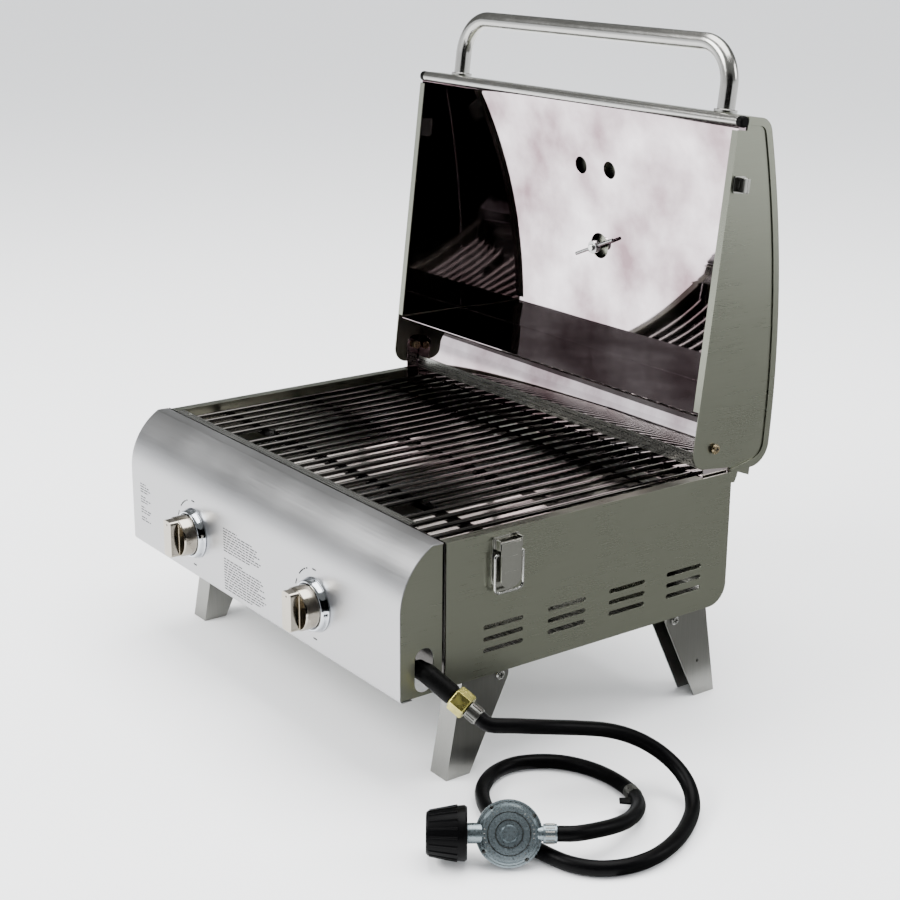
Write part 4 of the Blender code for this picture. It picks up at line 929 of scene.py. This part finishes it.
LEVER_HALF = 12.5
EAR_X = (281.0, 290.0)
for label, sign in SIDES:
    plate = fillet([(54.0, 199.0), (88.0, 199.0), (88.0, 258.0), (54.0, 258.0)],
                   {0: 15.0, 1: 15.0, 2: 3.0, 3: 3.0}, 4)
    ears = []
    for y in (LATCH_Y - LEVER_HALF - 1.9, LATCH_Y + LEVER_HALF + 0.5):
        ears.append(flipped(box(EAR_X, (y, y + 1.4), (246.0, 256.5)), sign))
    piece(f"{label}_latch_base", latch_steel, flipped(prism(plate, "X", 280.3, 281.5), sign), add=ears)

    shield = fillet([(LATCH_Y - LEVER_HALF, 206.0), (LATCH_Y + LEVER_HALF, 206.0),
                     (LATCH_Y + LEVER_HALF, 252.5), (LATCH_Y - LEVER_HALF, 252.5)],
                    {0: 10.0, 1: 10.0}, 4)
    barrel = rod((LATCH_AXIS_X, LATCH_Y - LEVER_HALF, LATCH_AXIS_Z),
                 (LATCH_AXIS_X, LATCH_Y + LEVER_HALF, LATCH_AXIS_Z), 2.8, 12)
    piece(f"{label}_latch_lever", latch_steel, flipped(prism(shield, "X", 289.4, 290.9), sign),
          add=[flipped(barrel, sign)])

    low = BAIL_Z - BAIL_LENGTH
    bend = 6.0
    half = BAIL_HALF_WIDTH
    loop = fillet([(-13.2, BAIL_Z), (-half, BAIL_Z), (-half, low), (half, low), (half, BAIL_Z),
                   (13.2, BAIL_Z)],
                  {1: 2.6, 2: bend, 3: bend, 4: 2.6}, 3, closed=False)
    piece(f"{label}_latch_bail", wire_steel,
          flipped(tube([(BAIL_X, LATCH_Y + y, z) for y, z in loop], BAIL_RADIUS, 8), sign))

# ---- gas hose and its fittings ----------------------------------------------------------------

along = INLET_DIRECTION
SLEEVE_LENGTH = 28.0
NUT_LENGTH = 18.0
FERRULE_LENGTH = 14.0
sleeve_path = [(MANIFOLD_END_X + 0.4, MANIFOLD_Y, MANIFOLD_Z), (274.0, MANIFOLD_Y, MANIFOLD_Z),
               INLET_START - along * 6, INLET_START, INLET_START + along * (SLEEVE_LENGTH - 2),
               INLET_START + along * SLEEVE_LENGTH]
piece("hose_sleeve", black_rubber, tube(sleeve_path, [9.5, 9.5, 9.8, 10.2, 10.2, 9.0], 16))
nut_start = INLET_START + along * (SLEEVE_LENGTH + GAP)
piece("hose_union_nut", nut_yellow,
      lathe([(0, 0), (11.6, 0), (13.2, 1.4), (13.2, NUT_LENGTH - 1.4), (11.6, NUT_LENGTH), (0, NUT_LENGTH)],
            nut_start, along, 6), smooth=20.0)
ferrule_start = nut_start + along * (NUT_LENGTH + GAP)
piece("hose_inlet_ferrule", ferrule_steel,
      lathe([(0, 0), (7.9, 0), (8.5, 1.0), (8.5, FERRULE_LENGTH - 1), (7.9, FERRULE_LENGTH),
             (0, FERRULE_LENGTH)],
            ferrule_start, along, 16))

tilt = radians(REGULATOR_TILT)
across = Vector((REGULATOR_AXIS.y, -REGULATOR_AXIS.x, 0.0))
disc_axis = across * cos(tilt) + Vector((0, 0, 1)) * sin(tilt)
disc_profile = [(0, -15.0), (12.0, -15.0), (21.0, -10.0), (23.0, -5.0), (31.0, -4.0), (31.0, 4.0),
                (27.0, 5.2), (25.0, 9.0), (16.0, 11.0), (8.0, 11.0), (7.0, 13.0), (0, 13.0)]
OUTLET_END = 44.0
piece("regulator", regulator_zinc, lathe(disc_profile, REGULATOR_CENTRE, disc_axis, 32),
      add=[tube([REGULATOR_CENTRE - REGULATOR_AXIS * 38, REGULATOR_CENTRE - REGULATOR_AXIS * 10], 9.5, 14),
           tube([REGULATOR_CENTRE + REGULATOR_AXIS * 10, REGULATOR_CENTRE + REGULATOR_AXIS * 34], 7.0, 14),
           tube([REGULATOR_CENTRE + REGULATOR_AXIS * 31.5,
                 REGULATOR_CENTRE + REGULATOR_AXIS * OUTLET_END], 9.0, 16)])
wheel_start = REGULATOR_CENTRE - REGULATOR_AXIS * (38 + 0.4)
wheel_profile = [(0, 0), (24.0, 0), (25.6, 2.5), (25.0, 10.0), (20.5, 36.0), (18.5, 38.0), (0, 38.0)]
piece("regulator_handwheel", wheel_plastic, lathe(wheel_profile, wheel_start, -REGULATOR_AXIS, 24))

# The hose leaves the inlet ferrule, drops to the ground, sweeps out and back in a loop and
# rises to the regulator's outlet.
hose_start = ferrule_start + along * (FERRULE_LENGTH + GAP)
hose_end = REGULATOR_CENTRE + REGULATOR_AXIS * (OUTLET_END + GAP)
route = [hose_start, hose_start + along * 4, hose_start + along * 9, (354, 33, 92.5), (362, 63, 86),
         (366.5, 97, 77), (371, 130, 67), (379, 150.5, 59), (391, 167, 49.5), (406, 178, 39), (425.5, 182, 28), (445, 177, 18),
         (462, 164, 10.5), (480, 139, HOSE_REST_Z), (496, 107, HOSE_REST_Z), (504, 73, HOSE_REST_Z),
         (501, 43, HOSE_REST_Z), (488, 19, HOSE_REST_Z), (467, 4, HOSE_REST_Z), (438, -3, HOSE_REST_Z),
         (404, -6, HOSE_REST_Z), (367, -3, HOSE_REST_Z), (334, 8, HOSE_REST_Z), (308, 26, HOSE_REST_Z),
         (291, 51, HOSE_REST_Z), (286, 79, HOSE_REST_Z), (294, 103, HOSE_REST_Z), (311, 124, HOSE_REST_Z),
         (336, 138, HOSE_REST_Z), (367, 144, HOSE_REST_Z), (398, 141, HOSE_REST_Z), (425, 127, 9.5),
         (446, 99, 14.5), (458, 65, 22), hose_end + REGULATOR_AXIS * 14 + Vector((0.8, 3.0, -0.4)),
         hose_end + REGULATOR_AXIS * 5, hose_end]


def smooth_route(points, step):
    """Evenly spaced points on a centripetal curve through the given ones, with a short
    straight stub at each end."""
    knots = [Vector(p) for p in points]
    knots = [knots[0] * 2 - knots[1]] + knots + [knots[-1] * 2 - knots[-2]]
    dense = []
    for a, b, c, d in zip(knots, knots[1:], knots[2:], knots[3:]):
        ta = 0.0
        tb = ta + (b - a).length ** 0.5
        tc = tb + (c - b).length ** 0.5
        td = tc + (d - c).length ** 0.5
        for k in range(16):
            t = tb + (tc - tb) * k / 16
            ab = a.lerp(b, (t - ta) / (tb - ta))
            bc = b.lerp(c, (t - tb) / (tc - tb))
            cd = c.lerp(d, (t - tc) / (td - tc))
            abc = ab.lerp(bc, (t - ta) / (tc - ta))
            bcd = bc.lerp(cd, (t - tb) / (td - tb))
            dense.append(abc.lerp(bcd, (t - tb) / (tc - tb)))
    dense.append(knots[-2])
    lengths = [0.0]
    for here, after in zip(dense, dense[1:]):
        lengths.append(lengths[-1] + (after - here).length)
    count = round(lengths[-1] / step)
    targets = [lengths[-1] * i / count for i in range(count + 1)]
    targets[1:1] = [END_STUB]
    targets[-1:-1] = [lengths[-1] - END_STUB]
    result = []
    index = 0
    for target in targets:
        while index < len(lengths) - 2 and lengths[index + 1] < target:
            index += 1
        part = (target - lengths[index]) / (lengths[index + 1] - lengths[index])
        result.append(dense[index].lerp(dense[index + 1], min(1.0, part)))
    return result


hose_points = smooth_route(route, 6.0)
hose_data = bpy.data.curves.new("gas_hose_line", "CURVE")
hose_data.dimensions = "3D"
hose_data.bevel_depth = HOSE_RADIUS * MM
hose_data.bevel_resolution = 7
hose_data.use_fill_caps = True
spline = hose_data.splines.new("POLY")
spline.points.add(len(hose_points) - 1)
for point, spot in zip(spline.points, hose_points):
    point.co = (spot.x * MM, (spot.y + SHIFT_Y) * MM, spot.z * MM, 1.0)
    point.radius = 1.0
spline.use_smooth = True
hose = bpy.data.objects.new("gas_hose_line", hose_data)
hose_data.materials.append(hose_rubber)
bpy.context.scene.collection.objects.link(hose)
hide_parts("gas_hose")
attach(hose, BODY_OF["gas_hose"])

# ---- details on the lid -----------------------------------------------------------------------

for label, sign in SIDES:
    inner = lid_line(LINER_OFFSET + 0.6, LID_RIM + 2.0, 58.0)
    face = [p for p in inner if p[1] > 48.0] + [(70.0, 48.5), (LID_RIM + 2.0, 38.5)]
    detail(f"lid_{label}_side_lining", mirror_steel, flipped(prism(face, "X", 275.36, 275.6), sign), "lid",
           "mirror_steel", parent=lid_frame, bevel=0)
    plate = rounded((-26.0, KEEPER_Z - 11), (-7.0, KEEPER_Z + 11), 1.5, 2)
    detail(f"lid_{label}_keeper_backing", latch_steel, flipped(prism(plate, "X", 274.2, 275.2), sign), "lid",
           "latch_steel", parent=lid_frame)
    for z in (KEEPER_Z - 5.0, KEEPER_Z + 5.0):
        rivet = lathe([(0, 0), (2.2, 0), (1.6, 0.9), (0, 1.1)], (278.3, -12.5, z), (1, 0, 0), 12)
        detail(f"{label}_keeper_rivet_{int(z)}", bolt_steel, flipped(rivet, sign), "lid", "bolt_steel",
               parent=lid_frame, bevel=0)

dial_face = lathe([(0, 10.9), (23.6, 10.9), (23.6, 11.3), (0, 11.3)], dial_centre, dial_normal, 40)
detail("thermometer_face", dial_white, dial_face, "lid", "dial_steel", parent=lid_frame, bevel=0)
up_dial = dial_normal.cross(Vector((1.0, 0.0, 0.0)))
dial_marks = []
for i in range(21):
    angle = radians(-130 + 13 * i)
    direction = Vector((sin(angle), 0, 0)) + up_dial * -cos(angle)
    inner_reach = 17.0 if i % 5 else 15.0
    dial_marks.append(rod(dial_centre + dial_normal * 11.35 + direction * inner_reach,
                          dial_centre + dial_normal * 11.35 + direction * 21.0, 0.35 if i % 5 else 0.55, 6))
needle_direction = Vector((sin(radians(-100)), 0, 0)) + up_dial * -cos(radians(-100))
dial_marks.append(rod(dial_centre + dial_normal * 11.6 - needle_direction * 5,
                      dial_centre + dial_normal * 11.6 + needle_direction * 16, 0.6, 6))


def joined(shapes):
    """Several small solids in one mesh."""
    verts = []
    faces = []
    for shape in shapes:
        base = len(verts)
        verts += [tuple(v) for v in shape[0]]
        faces += [tuple(index + base for index in face) for face in shape[1]]
    return verts, faces


detail("thermometer_marks", print_dark, joined(dial_marks), "lid", "dial_steel", parent=lid_frame, bevel=0)

# ---- details on the firebox ---------------------------------------------------------------------

detail("rear_guard_strip", shell_steel, box((-271.0, 271.0), (357.3, 357.8), (263.0, 279.0)),
       BODY_OF["rear_guard"], "shell_steel")
dots = []
for i in range(108):
    for z in (268.0, 274.0):
        x = -267.5 + 5.0 * i
        dots.append(rod((x, 357.32, z), (x, 357.1, z), 0.8, 6))
detail("rear_guard_strip_dots", shade_and_mark_dark, joined(dots), BODY_OF["rear_guard"], "shell_steel", bevel=0)


def phillips(name, centre, axis_sign, radius, body, parent=None):
    """The cross recess of a screw head, as two thin dark bars on its face: painted shade in place of the hollow."""
    x, y, z = centre
    low, high = sorted((x, x + 0.12 * axis_sign))
    bars = [box((low, high), (y - radius, y + radius), (z - 0.5, z + 0.5)),
            box((low, high), (y - 0.5, y + 0.5), (z - radius, z + radius))]
    detail(name, shade_and_mark_dark, joined(bars), body, "screw_steel", parent=parent, bevel=0)


for end, end_label in enumerate(("front", "rear")):
    for label, sign in SIDES:
        head = ((LEG_OUTER_X + GAP + 2.8) * sign, LEG_PIVOT_Y[end], LEG_PIVOT_Z)
        phillips(f"{end_label}_{label}_leg_screw_recess", head, sign, 2.6,
                 BODY_OF[f"{end_label}_{label}_leg_screw"])
for label, sign in SIDES:
    phillips(f"{label}_lid_pivot_recess", (282.0 * sign, LID_PIVOT_Y, LID_PIVOT_Z), sign, 2.8,
             BODY_OF[f"{label}_lid_pivot_bolt"])
    for z in (215.0, 232.0):
        head = lathe([(0, 0), (2.6, 0), (2.0, 1.2), (0, 1.5)], (281.4, LATCH_Y, z), (1, 0, 0), 12)
        detail(f"{label}_latch_base_rivet_{int(z)}", latch_steel, flipped(head, sign),
               BODY_OF[f"{label}_latch_base"], "latch_steel", bevel=0)
    for z in (222.0, 238.0):
        rib = box((290.8, 291.05), (LATCH_Y - 7, LATCH_Y + 7), (z - 0.7, z + 0.7))
        detail(f"{label}_latch_lever_rib_{int(z)}", latch_steel, flipped(rib, sign), f"{label}_latch_lever",
               "latch_steel", bevel=0.1)

# A row of ports along each side of the burner tubes, as dark discs: painted shade in place of the holes.
for label, sign in SIDES:
    ports = []
    for i in range(34):
        for side in (-1.0, 1.0):
            angle = radians(90 + 38 * side)
            centre = Vector((BURNER_X * sign, 14.0 + 9.2 * i, BURNER_Z))
            out = Vector((cos(angle), 0.0, sin(angle)))
            ports.append(rod(centre + out * (BURNER_RADIUS - 0.6),
                             centre + out * (BURNER_RADIUS + 0.06), 1.1, 6))
    detail(f"{label}_burner_ports", shade_and_mark_dark, joined(ports), BODY_OF[f"{label}_burner"],
           "burner_steel", bevel=0)

# ---- marks on the control panel: ticks round the knobs and plain bars, no lettering ---------------

FACE_Y = PANEL_FRONT_Y - 0.05


def bar_on_panel(x, z, length, height, angle=0.0):
    c = cos(radians(angle))
    s = sin(radians(angle))
    a, b = length / 2, height / 2
    corners = [(-a, -b), (a, -b), (a, b), (-a, b)]
    outline = [(x + u * c - v * s, z + u * s + v * c) for u, v in corners]
    return prism(outline, "Y", FACE_Y, PANEL_FRONT_Y + 0.3)


marks = []
for sign in (-1.0, 1.0):
    for angle, length in ((90, 7.0), (112, 3.0), (120, 4.0), (128, 5.0), (136, 6.0), (158, 7.0), (270, 7.0)):
        reach = 38.0
        marks.append(bar_on_panel(BURNER_X * sign + reach * cos(radians(angle)),
                                  KNOB_Z + reach * sin(radians(angle)), length, 1.6, angle - 90))
for block_x, top_z, widths in ((-259.0, 186.0, (14, 22, 26, 19, 0, 12, 24, 17, 0, 10, 25, 21, 0, 13, 23)),
                               (-60.0, 189.0, (30, 62, 74, 70, 78, 66, 80, 76, 58, 0, 0, 40, 80, 84, 78, 86, 74, 88,
                                               82, 90, 84, 78, 60))):
    for row, width in enumerate(widths):
        z = top_z - 3.2 * row
        x = block_x
        word = 0
        while x < block_x + width:
            length = min(4.0 + (word * 7 + row * 5) % 6, block_x + width - x)
            marks.append(bar_on_panel(x + length / 2, z, length, 1.25))
            x += length + 1.6
            word += 1
detail("panel_marks", print_dark, joined(marks), BODY_OF["control_panel"], "panel_steel", bevel=0)
for label, sign in SIDES:
    x = BURNER_X * sign
    dot = rod((x, GRIP_FRONT_Y + 0.5, KNOB_Z + 16.5), (x, GRIP_FRONT_Y - 0.04, KNOB_Z + 16.5), 1.1, 16)
    detail(f"{label}_knob_dot", shade_and_mark_dark, dot, f"{label}_knob", "knob_nickel", bevel=0)

# ---- details on the gas line ------------------------------------------------------------------------


def crimps(name, start, direction, length, radius, count, mat, slot, body):
    """Shallow pressed grooves along a ferrule."""
    direction = direction.normalized()
    side = direction.orthogonal().normalized()
    other = direction.cross(side)
    bars = []
    for k in range(count):
        angle = 2 * pi * k / count
        out = cos(angle) * side + sin(angle) * other
        bars.append(rod(start + direction * 2 + out * radius,
                        start + direction * (length - 2) + out * radius, 0.7, 6))
    detail(name, mat, joined(bars), body, slot, bevel=0)


crimps("hose_inlet_ferrule_crimps", ferrule_start, along, FERRULE_LENGTH, 8.4, 14,
       ferrule_steel, "ferrule_steel", BODY_OF["hose_inlet_ferrule"])
crimps("regulator_ferrule_crimps", REGULATOR_CENTRE + REGULATOR_AXIS * 31.5, REGULATOR_AXIS, 12.5, 8.9, 14,
       ferrule_steel, "ferrule_steel", BODY_OF["regulator"])
rings = []
for radius, height in ((28.8, 4.2), (19.8, 10.0), (12.6, 11.1)):
    rings.append(lathe([(radius - 0.7, height - 0.4), (radius + 0.7, height - 0.4),
                        (radius + 0.4, height + 0.5), (radius - 0.4, height + 0.5)], REGULATOR_CENTRE, disc_axis, 48))
detail("regulator_rings", ferrule_steel, joined(rings), BODY_OF["regulator"], "regulator_zinc", bevel=0)
side_axis = disc_axis.cross(REGULATOR_AXIS).normalized()
ticks = []
for k in range(36):
    angle = 2 * pi * k / 36
    out = cos(angle) * REGULATOR_AXIS + sin(angle) * side_axis
    spot = REGULATOR_CENTRE + disc_axis * 9.35 + out * 22.6
    ticks.append(rod(spot - out * 0.9, spot + out * 0.9, 0.35, 6))
detail("regulator_ticks", ferrule_steel, joined(ticks), BODY_OF["regulator"], "regulator_zinc", bevel=0)
for k, angle in enumerate((35, 125, 215, 305)):
    out = cos(radians(angle)) * REGULATOR_AXIS + sin(radians(angle)) * side_axis
    detail(f"regulator_screw_{k}", screw_steel,
           lathe([(0, 0), (2.3, 0), (2.0, 1.3), (0, 1.6)],
                 REGULATOR_CENTRE + out * 28.2 + disc_axis * 3.9, disc_axis, 12),
           BODY_OF["regulator"], "screw_steel", bevel=0)
ribs = []
wheel_side = REGULATOR_AXIS.orthogonal().normalized()
wheel_other = REGULATOR_AXIS.cross(wheel_side)
for k in range(18):
    angle = 2 * pi * k / 18
    out = cos(angle) * wheel_side + sin(angle) * wheel_other
    ribs.append(tube([wheel_start - REGULATOR_AXIS * 9 + out * 24.9,
                      wheel_start - REGULATOR_AXIS * 35 + out * 20.4],
                     [1.3, 1.0], 8))
detail("regulator_handwheel_ribs", wheel_plastic, joined(ribs), "regulator_handwheel",
       "wheel_plastic", bevel=0)

# A metal band and a rubber tag near the regulator end of the hose.
band_spot = Vector((401.0, 140.5, 8.0))
band_index = min(range(len(hose_points)), key=lambda i: (hose_points[i] - band_spot).length)
band_at = hose_points[band_index]
band_way = (hose_points[band_index + 1] - hose_points[band_index - 1]).normalized()
hose_band = detail("hose_band", ferrule_steel,
                   lathe([(HOSE_RADIUS - 0.2, -6), (HOSE_RADIUS + 0.3, -6),
                          (HOSE_RADIUS + 0.35, 6), (HOSE_RADIUS - 0.2, 6)],
                         band_at, band_way, 24), BODY_OF["gas_hose"], "ferrule_steel", bevel=0)
tag_at = hose_points[band_index + 4]
tag_way = (hose_points[band_index + 5] - hose_points[band_index + 3]).normalized()
tag_side = Vector((-tag_way.y, tag_way.x, 0.0)).normalized() * -1.0
tag_corners = []
for reach, half in ((HOSE_RADIUS - 1.0, 7.0), (HOSE_RADIUS + 11.0, 5.5)):
    for end in (-1, 1):
        tag_corners.append(tag_at + tag_side * reach + tag_way * half * end)
tag_ring = [tag_corners[0], tag_corners[1], tag_corners[3], tag_corners[2]]
tag_rings = [[p + Vector((0, 0, 1)) * lift for p in tag_ring] for lift in (2.0, 4.0)]
hose_tag = detail("hose_tag", black_rubber, skin_rings(tag_rings), BODY_OF["gas_hose"], "black_rubber")

# ---- studio ---------------------------------------------------------------------------------


def stage_plane(name, size, location, rotation, mat):
    mesh = bpy.data.meshes.new(name)
    half = (size[0] / 2, size[1] / 2)
    corners = [(-half[0], -half[1], 0), (half[0], -half[1], 0), (half[0], half[1], 0), (-half[0], half[1], 0)]
    mesh.from_pydata(corners, [], [(0, 1, 2, 3)])
    obj = bpy.data.objects.new(name, mesh)
    obj.location = location
    obj.rotation_euler = rotation
    mesh.materials.append(mat)
    bpy.context.scene.collection.objects.link(obj)
    return obj


floor_mat, _, _, floor_shader = new_material("studio_floor")
floor_shader.inputs["Base Color"].default_value = (0.95, 0.95, 0.95, 1.0)
floor_shader.inputs["Roughness"].default_value = 0.9
stage_plane("studio_floor", (60.0, 60.0), (0.0, 0.0, 0.0), (0.0, 0.0, 0.0), floor_mat)


def flag(name, size, location, rotation, tone):
    """A studio flag: a card that only shows in reflections."""
    mat, nodes, links, shader = new_material(name)
    shader.inputs["Base Color"].default_value = (tone, tone, tone * 0.95, 1.0)
    shader.inputs["Roughness"].default_value = 1.0
    shader.inputs["Specular IOR Level"].default_value = 0.0
    card = stage_plane(name, size, location, rotation, mat)
    card.visible_camera = False
    card.visible_diffuse = False
    card.visible_shadow = False
    card.visible_transmission = False


to_camera = atan2(-1.104, 1.539)
flag("flag_low", (2.6, 4.0), (2.15 * cos(to_camera), 2.15 * sin(to_camera), 0.004),
     (0.0, 0.0, to_camera), 0.0)
flag("flag_high", (2.4, 5.0), (3.3 * cos(to_camera), 3.3 * sin(to_camera), 1.2),
     (0.0, radians(90), to_camera), 0.0)
flag("flag_right", (3.2, 2.6), (1.9, 1.15, 0.003), (0.0, 0.0, 0.0), 0.135)
flag("flag_sky", (60.0, 60.0), (0.0, 0.0, 4.5), (0.0, 0.0, 0.0), 0.12)

world = bpy.data.worlds.new("studio")
bpy.context.scene.world = world
world.use_nodes = True
world.node_tree.nodes["Background"].inputs["Color"].default_value = (0.95, 0.97, 1.0, 1.0)
world.node_tree.nodes["Background"].inputs["Strength"].default_value = 1.7


def area_light(name, location, target, size, power, colour=(1.0, 1.0, 1.0)):
    data = bpy.data.lights.new(name, "AREA")
    data.shape = "RECTANGLE"
    data.size = size[0]
    data.size_y = size[1]
    data.energy = power
    data.color = colour
    obj = bpy.data.objects.new(name, data)
    obj.location = location
    obj.rotation_euler = (Vector(target) - Vector(location)).to_track_quat("-Z", "Y").to_euler()
    bpy.context.scene.collection.objects.link(obj)


area_light("key", (-1.0, -2.4, 2.4), (0.0, 0.0, 0.2), (2.2, 1.2), 150.0)
area_light("top", (0.0, 0.4, 3.2), (0.0, 0.0, 0.2), (3.0, 2.4), 170.0)
area_light("rim", (2.2, 2.6, 1.8), (0.0, 0.2, 0.3), (1.2, 1.2), 40.0)
